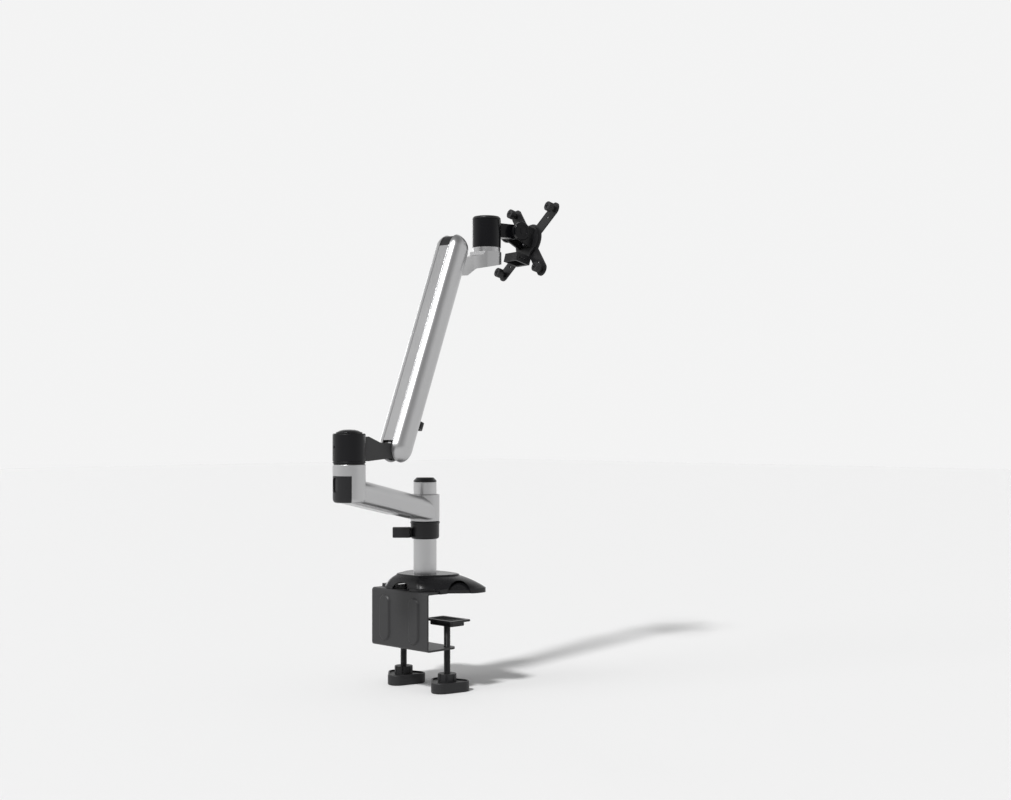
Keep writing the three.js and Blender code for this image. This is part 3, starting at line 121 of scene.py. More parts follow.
def turned(profile, steps=FINE):
    """A body turned about z from (radius, height) pairs; both ends lie on the axis or meet each other."""
    shape = bmesh.new()
    points = [shape.verts.new((radius, 0, height)) for radius, height in profile]
    edges = [shape.edges.new(pair) for pair in zip(points, points[1:])]
    if profile[0][0] > 0:
        edges.append(shape.edges.new((points[-1], points[0])))
    bmesh.ops.spin(
        shape,
        geom=points + edges,
        cent=(0, 0, 0),
        axis=(0, 0, 1),
        angle=math.tau,
        steps=steps,
        use_merge=True,
    )
    bmesh.ops.remove_doubles(shape, verts=shape.verts, dist=TOUCHING)
    bmesh.ops.recalc_face_normals(shape, faces=shape.faces)
    return shape


def bar(radius, low, high, steps=SMALL):
    """A round bar along z."""
    shape = bmesh.new()
    bmesh.ops.create_cone(
        shape,
        cap_ends=True,
        segments=steps,
        radius1=radius,
        radius2=radius,
        depth=high - low,
        matrix=Matrix.Translation((0, 0, (low + high) / 2)),
    )
    return shape


def moved(shape, x=0, y=0, z=0):
    bmesh.ops.translate(shape, verts=shape.verts, vec=(x, y, z))
    return shape


def swung(shape, degrees, axis):
    turn = Matrix.Rotation(math.radians(degrees), 3, axis)
    bmesh.ops.rotate(shape, verts=shape.verts, cent=(0, 0, 0), matrix=turn)
    return shape


def cross_bar(radius, left, right, steps=SMALL):
    """A round bar along y, from left to right."""
    return swung(bar(radius, -right, -left, steps), 90, "X")


def pin_bar(radius, half_length, x=0, z=0, steps=SMALL):
    """A round bar along y with its middle at (x, 0, z)."""
    return moved(cross_bar(radius, -half_length, half_length, steps), x, 0, z)


def long_bar(radius, start, end, steps=SMALL):
    """A round bar along x."""
    return swung(bar(radius, start, end, steps), 90, "Y")


def block(x0, x1, y0, y1, z0, z1):
    shape = bmesh.new()
    size = Matrix.Diagonal((x1 - x0, y1 - y0, z1 - z0, 1))
    middle = Matrix.Translation(((x0 + x1) / 2, (y0 + y1) / 2, (z0 + z1) / 2))
    bmesh.ops.create_cube(shape, size=1, matrix=middle @ size)
    return shape


def raised(outline, low, high):
    """A flat outline of (x, y) points, raised from low to high."""
    shape = bmesh.new()
    corners = [shape.verts.new((x, y, low)) for x, y in outline]
    face = shape.faces.new(corners)
    grown = bmesh.ops.extrude_face_region(shape, geom=[face])
    top = [item for item in grown["geom"] if isinstance(item, bmesh.types.BMVert)]
    bmesh.ops.translate(shape, verts=top, vec=(0, 0, high - low))
    bmesh.ops.recalc_face_normals(shape, faces=shape.faces)
    return shape


def sideways(outline, left, right):
    """An outline of (x, z) points, made thick along y."""
    return swung(raised(outline, -right, -left), 90, "X")


def loft(rings):
    """A closed skin through rings of equally many points."""
    shape = bmesh.new()
    loops = []
    for ring in rings:
        points = [shape.verts.new(point) for point in ring]
        loops.append([shape.edges.new(pair) for pair in zip(points, points[1:] + points[:1])])
        if ring is rings[0] or ring is rings[-1]:
            shape.faces.new(points)
    for lower, upper in zip(loops, loops[1:]):
        bmesh.ops.bridge_loops(shape, edges=lower + upper)
    bmesh.ops.recalc_face_normals(shape, faces=shape.faces)
    return shape


def cushioned(outline, low, high, edge, steps=4):
    """A body between low and high with round edges; outline gives its points for an inset."""
    turns = [math.pi / 2 * step / steps for step in range(steps + 1)]
    lower = [(edge * (1 - math.sin(turn)), low + edge * (1 - math.cos(turn))) for turn in turns]
    upper = [(inset, low + high - height) for inset, height in reversed(lower)]
    return loft([[(x, y, height) for x, y in outline(inset)] for inset, height in lower + upper])


def arc(x, y, radius, start, end, steps=8):
    """Points on an arc, with its angles in degrees."""
    angles = [math.radians(start + (end - start) * step / steps) for step in range(steps + 1)]
    return [(x + radius * math.cos(angle), y + radius * math.sin(angle)) for angle in angles]


def rounded(x0, x1, y0, y1, radius, steps=6):
    """A rectangle with round corners."""
    return (
        arc(x1 - radius, y1 - radius, radius, 0, 90, steps)
        + arc(x0 + radius, y1 - radius, radius, 90, 180, steps)
        + arc(x0 + radius, y0 + radius, radius, 180, 270, steps)
        + arc(x1 - radius, y0 + radius, radius, 270, 360, steps)
    )


def slab(x0, x1, y0, y1, radius):
    """A rounded rectangle as a function of its inset."""
    return lambda inset: rounded(x0 + inset, x1 - inset, y0 + inset, y1 - inset, radius - inset)


def smooth_ring(places, per_span):
    """A closed smooth curve through (x, y) places."""
    points = []
    count = len(places)
    for index in range(count):
        before, start, end, after = (Vector(places[(index + shift) % count]) for shift in (-1, 0, 1, 2))
        for step in range(per_span):
            t = step / per_span
            bend = 2 * before - 5 * start + 4 * end - after
            twist = 3 * start - before - 3 * end + after
            points.append((2 * start + (end - before) * t + bend * t**2 + twist * t**3) / 2)
    return points


def mesh_from(shape, name):
    mesh = bpy.data.meshes.new(name)
    shape.to_mesh(mesh)
    shape.free()
    return mesh


def placed(name, data):
    """An object in the scene that shows a mesh, a lamp or a camera."""
    made = bpy.data.objects.new(name, data)
    bpy.context.scene.collection.objects.link(made)
    return made


def worked(shape, *steps):
    """A shape with each (operation, tool) applied in turn: DIFFERENCE, UNION or INTERSECT."""
    base = placed("working", mesh_from(shape, "working"))
    tools = []
    for operation, tool in steps:
        other = placed("tool", mesh_from(tool, "tool"))
        change = base.modifiers.new("work", "BOOLEAN")
        change.operation = operation
        change.solver = "EXACT"
        change.object = other
        tools.append(other)
    bpy.context.view_layer.update()
    solid = base.evaluated_get(bpy.context.evaluated_depsgraph_get())
    result = bmesh.new()
    result.from_mesh(solid.to_mesh())
    solid.to_mesh_clear()
    for made in [base, *tools]:
        mesh = made.data
        bpy.data.objects.remove(made)
        bpy.data.meshes.remove(mesh)
    return result


def cut(shape, *tools):
    return worked(shape, *[("DIFFERENCE", tool) for tool in tools])


def joined(shape, *others):
    return worked(shape, *[("UNION", other) for other in others])


def common(shape, other):
    return worked(shape, ("INTERSECT", other))


def piece(name, shape, place, body, finish, *nodes, edge=0.4, segments=2, corner=32):
    """Puts a shape in place as a named piece that rides on a body and stands for CAD nodes."""
    bmesh.ops.remove_doubles(shape, verts=shape.verts, dist=TOUCHING)
    bmesh.ops.dissolve_degenerate(shape, edges=shape.edges, dist=TOUCHING)
    bmesh.ops.transform(shape, verts=shape.verts, matrix=Matrix.Scale(MM, 4) @ place)
    for face in shape.faces:
        face.smooth = True
    mesh = mesh_from(shape, name)
    made = placed(name, mesh)
    mesh.materials.append(finishes[finish])
    if edge:
        round_over = made.modifiers.new("round over", "BEVEL")
        round_over.width = edge * MM
        round_over.segments = segments
        round_over.limit_method = "ANGLE"
        round_over.angle_limit = math.radians(corner)
    else:
        mesh.set_sharp_from_angle(angle=math.radians(corner))
    even = made.modifiers.new("even shading", "WEIGHTED_NORMAL")
    even.keep_sharp = True
    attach(made, body)
    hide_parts(*nodes)
    return made


# Materials

DUST_COLOUR = (0.45, 0.44, 0.43, 1)
DUST_SLOPE = 0.35
DUST_SCALE = 60.0
DUST_DETAIL = 4.0
GRAIN_DETAIL = 3.0
CLOUD_DETAIL = 2.0
CLOUD_SCALE = 14.0
ROUGHNESS_CHANGE = 0.06
RELIEF_DEPTH = 0.0002


def feed(tree, node, sockets):
    """Sets a node's inputs, each to a value or to what another node's socket gives."""
    for key, value in sockets.items():
        if isinstance(value, bpy.types.NodeSocket):
            tree.links.new(value, node.inputs[key])
        else:
            node.inputs[key].default_value = value


def add_node(tree, kind, sockets=(), **settings):
    """A new shader node's outputs, once its settings and inputs are set."""
    node = tree.nodes.new("ShaderNode" + kind)
    for setting, value in settings.items():
        setattr(node, setting, value)
    feed(tree, node, dict(sockets))
    return node.outputs


def calc(tree, operation, *values):
    return add_node(tree, "Math", enumerate(values), operation=operation)[0]


def noise(tree, place, scale, detail):
    return add_node(tree, "TexNoise", {"Vector": place, "Scale": scale, "Detail": detail})["Fac"]


def node_group(name, inputs, outputs):
    """An empty node group, what it is given, and its end; inputs and outputs name each socket's kind."""
    group = bpy.data.node_groups.new(name, "ShaderNodeTree")
    for way, sockets in (("INPUT", inputs), ("OUTPUT", outputs)):
        for socket, kind in sockets.items():
            group.interface.new_socket(socket, in_out=way, socket_type="NodeSocket" + kind)
    given = group.nodes.new("NodeGroupInput").outputs
    end = group.nodes.new("NodeGroupOutput")
    return group, given, end


def grain_group():
    """Moulded or sprayed grain: small colour and roughness changes, and a height for a bump."""
    numbers = ("Colour change", "Roughness", "Roughness change", "Grain scale", "Cloud scale")
    inputs = {"Colour": "Color", **dict.fromkeys(numbers, "Float"), "Stretch": "Vector"}
    outputs = {"Colour": "Color", "Roughness": "Float", "Height": "Float"}
    group, given, end = node_group("surface grain", inputs, outputs)
    place = add_node(group, "TexCoord")["Object"]
    stretched = add_node(group, "VectorMath", {0: place, 1: given["Stretch"]}, operation="MULTIPLY")[0]
    fine = noise(group, stretched, given["Grain scale"], GRAIN_DETAIL)
    cloud = noise(group, place, given["Cloud scale"], CLOUD_DETAIL)
    centred = calc(group, "SUBTRACT", calc(group, "ADD", fine, cloud), 1.0)
    shade = calc(group, "MULTIPLY_ADD", centred, given["Colour change"], 1.0)
    tint = add_node(group, "VectorMath", {0: given["Colour"], "Scale": shade}, operation="SCALE")[0]
    rough = calc(group, "MULTIPLY_ADD", centred, given["Roughness change"], given["Roughness"])
    feed(group, end, {"Colour": tint, "Roughness": rough, "Height": fine})
    return group


def dust_group():
    """A thin film of dust on faces that look up."""
    inputs = {"Colour": "Color", "Dust colour": "Color", "Amount": "Float"}
    group, given, end = node_group("dust film", inputs, {"Colour": "Color"})
    place = add_node(group, "TexCoord")
    height = add_node(group, "SeparateXYZ", {0: place["Normal"]})["Z"]
    upward = add_node(group, "MapRange", {"Value": height, "From Min": DUST_SLOPE, "From Max": 1.0})
    patches = noise(group, place["Object"], DUST_SCALE, DUST_DETAIL)
    mask = calc(group, "MULTIPLY", upward["Result"], patches)
    weight = calc(group, "MULTIPLY", mask, given["Amount"])
    sides = {"Factor": weight, "A": given["Colour"], "B": given["Dust colour"]}
    blend = add_node(group, "Mix", sides, data_type="RGBA")
    feed(group, end, {"Colour": blend["Result"]})
    return group


grain = grain_group()
dust = dust_group()


def make_finish(
    name,
    colour,
    roughness,
    metallic=0.0,
    grain_scale=900.0,
    colour_change=0.06,
    bump=0.05,
    stretch=(1, 1, 1),
    specular=0.5,
    dusty=0.04,
):
    """A material with grain, slow colour clouds and a light film of dust."""
    material = bpy.data.materials.new(name)
    material.use_nodes = True
    tree = material.node_tree
    skin = add_node(tree, "Group", {
        "Colour": (*colour, 1),
        "Colour change": colour_change,
        "Roughness": roughness,
        "Roughness change": ROUGHNESS_CHANGE,
        "Grain scale": grain_scale,
        "Cloud scale": CLOUD_SCALE,
        "Stretch": stretch,
    }, node_tree=grain)
    coated = {"Colour": skin["Colour"], "Dust colour": DUST_COLOUR, "Amount": dusty}
    film = add_node(tree, "Group", coated, node_tree=dust)
    relief = add_node(tree, "Bump", {"Height": skin["Height"], "Strength": bump, "Distance": RELIEF_DEPTH})
    feed(tree, tree.nodes["Principled BSDF"], {
        "Base Color": film["Colour"],
        "Roughness": skin["Roughness"],
        "Normal": relief["Normal"],
        "Metallic": metallic,
        "Specular IOR Level": specular,
    })
    return material


finishes = {
    "silver": make_finish(
        "silver paint", (0.47, 0.47, 0.474), 0.30, metallic=0.9, grain_scale=2600, bump=0.06, dusty=0.03
    ),
    "pole": make_finish(
        "satin pole", (0.49, 0.49, 0.494), 0.32, metallic=1.0, stretch=(1, 1, 0.03), colour_change=0.05
    ),
    "zinc": make_finish("zinc steel", (0.50, 0.50, 0.51), 0.34, metallic=1.0, grain_scale=700),
    "charcoal": make_finish(
        "charcoal powder coat", (0.027, 0.027, 0.028), 0.40, grain_scale=2200, bump=0.2, specular=0.3
    ),
    "black": make_finish(
        "black moulded plastic", (0.008, 0.008, 0.009), 0.38, grain_scale=1800, bump=0.2, specular=0.35
    ),
    "knob": make_finish(
        "dark knob plastic", (0.014, 0.014, 0.015), 0.48, grain_scale=1600, bump=0.3, specular=0.35
    ),
    "gloss": make_finish(
        "gloss black", (0.004, 0.004, 0.005), 0.20, grain_scale=600, bump=0.02, specular=0.2, dusty=0.01
    ),
    "housing": make_finish(
        "dark elbow paint", (0.006, 0.006, 0.007), 0.34, grain_scale=1700, bump=0.12, specular=0.2
    ),
    "cover": make_finish(
        "semi-gloss cover", (0.004, 0.004, 0.005), 0.27, grain_scale=1500, bump=0.08, specular=0.35,
        dusty=0.02,
    ),
    # Painted shade: this finish is darker than the charcoal one so that the tilt bracket and the plate
    # look as if in shade.
    "shade": make_finish(
        "head paint darkened as painted shade", (0.012, 0.012, 0.013), 0.42, grain_scale=2000, bump=0.2, specular=0.25
    ),
    "rubber": make_finish("soft rubber", (0.014, 0.014, 0.014), 0.8, grain_scale=1200, bump=0.5),
}

# Clamp bracket: one folded sheet with two pressed ribs

CLAMP_HALF = 63
CLAMP_BACK = -52
CLAMP_LOW = -84
CLAMP_MIDDLE = -40.5
SHEET = 3
BEND = 4.5
UPPER_REACH = 38
LOWER_REACH = 10
FLANGE_CORNER = 12
RIB_PLACES = (-33, 33)
RIB_HALF_WIDTH = 12
RIB_HALF_LENGTH = 35
RIB_DEPTH = 2.5
RIB_OUTSIDE = ((-0.4, 0), (0, 0), (0.35, 0.6), (0.75, 1.5), (0.95, 2.2), (1, 3))
RIB_INSIDE = ((-0.4, 0), (0, 0), (0.6, 1.2), (1, 3))
SCREW_PLACES = (-49.5, 49.5)
ROD = 5
FOOT_PLACES = [(19, 19), (19, -19), (-19, 19), (-19, -19)]
FOOT_TOP = 9
FOOT_HEAD = 6
FOOT_SHANK = 3
FOOT_SINK = 2
FOOT_SOCKET = 2.2
FOOT_SOCKET_DEPTH = 1.6


def clamp_profile():
    """The folded sheet seen from the side, as (y, z) points."""
    inner = BEND - SHEET
    centre = CLAMP_BACK + BEND
    return (
        [(UPPER_REACH, SHEET)]
        + arc(centre, SHEET - BEND, BEND, 90, 180)
        + arc(centre, CLAMP_LOW + BEND, BEND, 180, 270)
        + [(LOWER_REACH, CLAMP_LOW), (LOWER_REACH, CLAMP_LOW + SHEET)]
        + arc(centre, CLAMP_LOW + BEND, inner, 270, 180)
        + arc(centre, -inner, inner, 180, 90)
        + [(UPPER_REACH, 0)]
    )


def flange_plan(low, high, grow):
    """The room that the upper flange takes, a little larger than the flange."""
    half = CLAMP_HALF + grow
    front = UPPER_REACH + grow - FLANGE_CORNER
    outline = [(-half, -FAR * 2), (half, -FAR * 2)]
    outline += arc(half - FLANGE_CORNER, front, FLANGE_CORNER, 0, 90)
    outline += arc(FLANGE_CORNER - half, front, FLANGE_CORNER, 90, 180)
    return raised(outline, low, high)


def corner_cutter(side, reach, low, high):
    """What lies outside the round front corner of a flange."""
    near = CLAMP_HALF - FLANGE_CORNER
    back = reach - FLANGE_CORNER
    beyond = CLAMP_HALF + SHEET
    outline = [(beyond, back), (beyond, reach + SHEET), (near, reach + SHEET)]
    outline += arc(near, back, FLANGE_CORNER, 90, 0)
    return raised([(side * x, y) for x, y in outline], low, high)


def rib(x, shrink, base, shares):
    """A pressed rib: an obround that narrows as it rises, by (share of depth, inset) pairs."""
    half_width = RIB_HALF_WIDTH - shrink
    half_length = RIB_HALF_LENGTH - shrink
    rings = []
    for share, inset in shares:
        ring = []
        for at, start in ((half_length - half_width, 0), (half_width - half_length, 180)):
            points = arc(0, at, half_width - inset, start, start + 180, steps=16)
            ring += [(x + px, base - RIB_DEPTH * share, CLAMP_MIDDLE + pz) for px, pz in points]
        rings.append(ring)
    return loft(rings)


def clamp_bracket():
    sheet = swung(swung(raised(clamp_profile(), -CLAMP_HALF, CLAMP_HALF), 90, "X"), 90, "Z")
    tools = []
    for side in (1, -1):
        tools.append(corner_cutter(side, UPPER_REACH, -SHEET, SHEET * 2))
        tools.append(corner_cutter(side, LOWER_REACH, CLAMP_LOW - SHEET, CLAMP_LOW + SHEET * 2))
    for x in SCREW_PLACES:
        tools.append(moved(bar(ROD + GAP, CLAMP_LOW - FAR, CLAMP_LOW + FAR / 2, MEDIUM), x))
    for x, y in FOOT_PLACES:
        sink = turned([
            (0, -SHEET),
            (FOOT_HEAD + GAP, -SHEET),
            (FOOT_HEAD + GAP, GAP),
            (FOOT_SHANK + GAP, FOOT_SINK + GAP),
            (FOOT_SHANK + GAP, FAR),
            (0, FAR),
        ], MEDIUM)
        tools.append(moved(sink, x, y))
    sheet = cut(sheet, *tools)
    for x in RIB_PLACES:
        sheet = joined(sheet, rib(x, 0, CLAMP_BACK, RIB_OUTSIDE))
        sheet = cut(sheet, rib(x, SHEET / 2, CLAMP_BACK + SHEET, RIB_INSIDE))
    piece("clamp_plate", sheet, GROUND, "base", "charcoal", "clamp_bracket", edge=0.5)
    for number, (x, y) in enumerate(FOOT_PLACES, 1):
        screw = turned([
            (0, GAP),
            (FOOT_HEAD - GAP, GAP),
            (FOOT_HEAD, GAP * 2),
            (FOOT_SHANK, FOOT_SINK),
            (FOOT_SHANK, FOOT_TOP - GAP),
            (0, FOOT_TOP - GAP),
        ], MEDIUM)
        screw = moved(cut(screw, bar(FOOT_SOCKET, -SHEET, FOOT_SOCKET_DEPTH, HEXAGON)), x, y)
        name = f"countersunk_screw_{number}"
        piece(name, screw, GROUND, "base", "zinc", f"foot_screw_{number}", edge=0.1)


clamp_bracket()

# Pole, its foot and its end cap

POLE = 17.5
POLE_TOP = 163.5
POLE_WALL = 2.5
FOOT_RADIUS = 31
WELD = 1.2
CAP_TOP = 170.3
CAP_DEPTH = 12
CAP_RIM = 1.9
CAP_CHAMFER = 4.5


def pole():
    bore = POLE - POLE_WALL
    tube = turned([
        (0, SHEET),
        (FOOT_RADIUS, SHEET),
        (FOOT_RADIUS, FOOT_TOP),
        (POLE + WELD, FOOT_TOP),
        (POLE, FOOT_TOP + WELD),
        (POLE, POLE_TOP),
        (bore, POLE_TOP),
        (bore, FOOT_TOP),
        (0, FOOT_TOP),
    ])
    holes = [moved(bar(FOOT_SHANK + GAP, -SHEET, FAR / 2), x, y) for x, y in FOOT_PLACES]
    piece("pole_tube", cut(tube, *holes), GROUND, "base", "pole", "pole", edge=0.35)
    seat = POLE_TOP + GAP
    cap = turned(eased([
        (0, POLE_TOP - CAP_DEPTH),
        (bore - GAP, POLE_TOP - CAP_DEPTH),
        (bore - GAP, seat),
        (POLE, seat),
        (POLE, seat + CAP_RIM),
        (POLE - CAP_CHAMFER, CAP_TOP),
        (0, CAP_TOP),
    ], radius=0.5))
    piece("pole_end_cap", cap, GROUND, "base", "black", "pole_cap", edge=0)


pole()

# Base cover: its outlines give the right half as shares of the half width and the reach

COVER_HALF = 91
COVER_REACH = 55
COVER_HEIGHT = 25.5
COVER_WALL = 2.5
COVER_RIM = 7
COVER_LEDGE = 1.2
COVER_BULGE = 1.85
COVER_LIFT = 1.05
COVER_SHOULDER = 2.5
FOOT_SHARES = [
    (0, -0.89),
    (0.27, -0.88),
    (0.46, -0.8),
    (0.725, -0.255),
    (0.956, 0.218),
    (1, 0.545),
    (0.945, 0.818),
    (0.68, 0.964),
    (0.33, 1),
    (0, 1),
]
TOP_SHARES = [
    (0, -0.655),
    (0.187, -0.636),
    (0.297, -0.564),
    (0.396, -0.273),
    (0.495, 0.073),
    (0.516, 0.309),
    (0.473, 0.509),
    (0.34, 0.618),
    (0.165, 0.673),
    (0, 0.69),
]
ARCH_X = 77
ARCH_Y = -1
ARCH_TURN = -40
ARCH_HALF = 17
ARCH_HEIGHT = 18
ARCH_START = -48
ARCH_END = 60
BACK_ARCH_HALF = 20.5
BACK_ARCH_HEIGHT = 15
PANEL_SET_BACK = 4
TAB_BACK = -29
TAB_FRONT = -15
TAB_THICKNESS = 3
TAB_ROOT = 11


def cover_ring(to_top, height, inset):
    """The cover's outline between its foot (0) and its top (1), at a height and drawn in by an inset."""
    shares = [Vector(foot).lerp(Vector(top), to_top) for foot, top in zip(FOOT_SHARES, TOP_SHARES)]
    right = [(share.x * COVER_HALF, share.y * COVER_REACH) for share in shares]
    left = [(-x, y) for x, y in right[-2:0:-1]]
    ring = []
    for point in smooth_ring(right + left, per_span=5):
        kept = point * (1 - inset / point.length)
        ring.append((kept.x, kept.y, height))
    return ring


def hood(inset, low, slope_steps=8):
    """The cover's skin, or one that lies further in all over, from low up."""
    ledge = COVER_RIM + COVER_LEDGE / 3
    shoulder = COVER_HEIGHT - COVER_SHOULDER
    rings = [
        cover_ring(0, low, inset),
        cover_ring(0, COVER_RIM - inset / 2, inset),
        cover_ring(0, ledge - inset / 2, inset + COVER_LEDGE),
    ]
    for step in range(1, slope_steps + 1):
        share = step / slope_steps
        crown = 4 * share * (1 - share)
        height = ledge + (shoulder - ledge) * share + COVER_LIFT * crown - inset * (0.5 + share / 2)
        drawn = COVER_LEDGE - (COVER_LEDGE + COVER_SHOULDER) * share - COVER_BULGE * crown
        rings.append(cover_ring(share, height, inset + drawn))
    for turn in (30, 60, 90):
        angle = math.radians(turn)
        height = shoulder + COVER_SHOULDER * math.sin(angle) - inset
        rings.append(cover_ring(1, height, inset - COVER_SHOULDER * math.cos(angle)))
    return loft(rings)


def arch_tunnel(half_width, height, start, end, turn):
    """An arched tunnel from the middle out along an angle."""
    arch = [(-half_width, -FAR), (half_width, -FAR)]
    arch += [(x, z * height / half_width) for x, z in arc(0, 0, half_width, 0, 180, steps=32)]
    return swung(sideways(arch, start, end), turn - 90, "Z")


def side_arch(side, widen, set_back, low):
    """The arched recess in a wing, as far out as a skin that lies back from the cover's."""
    turn = ARCH_TURN if side > 0 else 180 - ARCH_TURN
    tunnel = arch_tunnel(ARCH_HALF + widen, ARCH_HEIGHT + widen, ARCH_START, ARCH_END, turn)
    return cut(moved(tunnel, side * ARCH_X, ARCH_Y), hood(set_back, low))


def base_cover():
    sides = (1, -1)
    frames = [side_arch(side, COVER_WALL, PANEL_SET_BACK + COVER_WALL, -FAR / 2) for side in sides]
    arches = [side_arch(side, 0, PANEL_SET_BACK, -FAR * 2) for side in sides]
    room = cut(hood(COVER_WALL, -FAR / 4), *frames)
    back_arch = arch_tunnel(BACK_ARCH_HALF, BACK_ARCH_HEIGHT, FOOT_RADIUS, FAR, -90)
    pole_hole = bar(POLE + GAP, -FAR, FAR, FINE)
    flange_room = flange_plan(-FAR, SHEET + GAP, GAP)
    shell = cut(hood(0, 0), room, *arches, back_arch, pole_hole, flange_room)
    for side in sides:
        inner = side * (CLAMP_HALF + GAP)
        outer = inner + side * TAB_THICKNESS
        root = inner - side * TAB_ROOT
        tab = block(min(inner, outer), max(inner, outer), TAB_BACK, TAB_FRONT, 0, COVER_RIM)
        web = block(min(root, outer), max(root, outer), TAB_BACK, TAB_FRONT, SHEET + GAP, COVER_RIM)
        shell = joined(shell, tab, web)
    piece("pole_base_cover", shell, GROUND, "base", "cover", "base_cover", edge=0.5, corner=28)


base_cover()

# Clamp screws with their pads and knobs

PAD_HALF_X = 31
PAD_HALF_Y = 20.5
PAD_TOP = -39.5
PAD_RIM = 3
PAD_LOW = -49
PAD_CORNER = 4
DISH_HALF_X = 24.5
DISH_HALF_Y = 14
DISH_FLOOR = PAD_TOP - 2.5
MAT_CORNER = 2
MAT_TOP = PAD_TOP - 0.8
MAT_GROOVES = range(-10, 11, 4)
GROOVE_LENGTH = 20
GROOVE_HALF = 0.6
GROOVE_FLOOR = PAD_TOP - 1.5
PITCH = 1.5
THREAD_DEPTH = 0.5
THREAD_FOOT = 0.3
THREAD_CREST = (0.6, 0.8)
ROD_LOW = -139.5
ROD_HIGH = -45.3
KNOB_LOW = -147
KNOB_TOP = -132
KNOB_LOBE = 15
KNOB_CENTRE = 18
KNOB_TURN = 168
KNOB_WALL = 2.6
KNOB_RECESS = 2.2
KNOB_COLLAR = 14
KNOB_COLLAR_TOP = -121
FLUTE = 1.6
FLUTE_TURN = 45


def knob_outline(inset):
    """Three round lobes joined by straight sides."""
    points = []
    for turn in (0, 120, 240):
        x = KNOB_CENTRE * math.cos(math.radians(turn))
        y = KNOB_CENTRE * math.sin(math.radians(turn))
        points += arc(x, y, KNOB_LOBE - inset, turn - 60, turn + 60, steps=20)
    return points


def oblong(half_x, half_y, radius):
    """A rounded rectangle about the axis, as a function of its inset."""
    return slab(-half_x, half_x, -half_y, half_y, radius)


def pressure_pad(side, x):
    body = f"{side}_pad"
    rim = cushioned(oblong(PAD_HALF_X, PAD_HALF_Y, PAD_CORNER), PAD_TOP - PAD_RIM, PAD_TOP, edge=0.8)
    dish = cushioned(oblong(DISH_HALF_X, DISH_HALF_Y, PAD_CORNER), PAD_LOW, DISH_FLOOR - GAP, edge=1.2)
    recess = raised(oblong(DISH_HALF_X, DISH_HALF_Y, MAT_CORNER)(0), DISH_FLOOR, PAD_TOP + FAR)
    socket = bar(ROD + GAP, PAD_LOW - FAR, ROD_HIGH + GAP)
    pad = cut(joined(rim, dish), recess, socket)
    piece(f"{side}_pad", moved(pad, x), GROUND, body, "black", f"{side}_pressure_pad", edge=0.25)
    mat = raised(oblong(DISH_HALF_X - GAP, DISH_HALF_Y - GAP, MAT_CORNER)(0), DISH_FLOOR, MAT_TOP)
    grooves = []
    for y in MAT_GROOVES:
        span = (y - GROOVE_HALF, y + GROOVE_HALF)
        grooves.append(block(-GROOVE_LENGTH, GROOVE_LENGTH, *span, GROOVE_FLOOR, PAD_TOP))
    mat = moved(cut(mat, *grooves), x)
    piece(f"{side}_mat", mat, GROUND, body, "rubber", f"{side}_pad_rubber", edge=0.2)


def threaded_rod(side, x):
    root = ROD - THREAD_DEPTH
    profile = [(0, ROD_LOW), (root, ROD_LOW)]
    turns = int((ROD_HIGH - ROD_LOW) / PITCH) - 1
    for turn in range(turns):
        height = ROD_LOW + PITCH * turn
        profile.append((root, height + PITCH * THREAD_FOOT))
        profile += [(ROD, height + PITCH * share) for share in THREAD_CREST]
    profile += [(root, ROD_HIGH - PITCH / 2), (root, ROD_HIGH), (0, ROD_HIGH)]
    rod = moved(turned(profile, SMALL), x)
    piece(f"{side}_threaded_rod", rod, GROUND, f"{side}_screw", "charcoal", f"{side}_clamp_screw", edge=0)


def clamp_knob(side, x):
    body = cushioned(knob_outline, KNOB_LOW, KNOB_TOP, edge=1.3)
    recess = raised(knob_outline(KNOB_WALL), KNOB_TOP - KNOB_RECESS, KNOB_TOP + FAR)
    collar = turned(eased([
        (0, KNOB_TOP - KNOB_RECESS * 2),
        (KNOB_COLLAR, KNOB_TOP - KNOB_RECESS * 2),
        (KNOB_COLLAR, KNOB_COLLAR_TOP),
        (0, KNOB_COLLAR_TOP),
    ], radius=1.2), MEDIUM)
    flutes = []
    for turn in range(0, 360, FLUTE_TURN):
        flute = bar(FLUTE, KNOB_TOP, KNOB_COLLAR_TOP + FAR, steps=16)
        flutes.append(swung(moved(flute, KNOB_COLLAR), turn, "Z"))
    bore = bar(ROD + GAP, ROD_LOW - GAP, KNOB_COLLAR_TOP + FAR)
    knob = joined(swung(cut(body, recess), KNOB_TURN, "Z"), cut(collar, *flutes))
    knob = moved(cut(knob, bore), x)
    piece(f"{side}_knob", knob, GROUND, f"{side}_screw", "knob", f"{side}_clamp_knob", edge=0.3)


for screw_side, screw_x in zip(("left", "right"), SCREW_PLACES):
    pressure_pad(screw_side, screw_x)
    threaded_rod(screw_side, screw_x)
    clamp_knob(screw_side, screw_x)

# Height collar, its tie bolt and its lever

COLLAR_LOW = 77.5
COLLAR_HIGH = 104
COLLAR_RADIUS = 21.6
COLLAR_FOOT = 3
COLLAR_BEVEL = 0.9
COLLAR_LIP = 0.8
EAR_LOW = 80
EAR_HIGH = 94
EAR_REACH = 31
EAR_HALF = 8
EAR_CORNER = 3
SPLIT_HALF = 1.5
LEVER_TOP = 96
LEVER_MIDDLE = (EAR_LOW + LEVER_TOP) / 2
BOLT_X = 26.3
BOLT = 3
BOLT_HEAD = 5.5
BOLT_HEAD_HEIGHT = 4
BOLT_SOCKET = 2
BOLT_SOCKET_DEPTH = 2.3
BOLT_EYE = 4.2
PIN_Y = 14.6
PIN = 2
HANDLE_START = -3
HANDLE_END = 21.7
HANDLE_OUTER = -4
HANDLE_CORNER = 2.4
CAM = 6
THROAT_REACH = 4.5


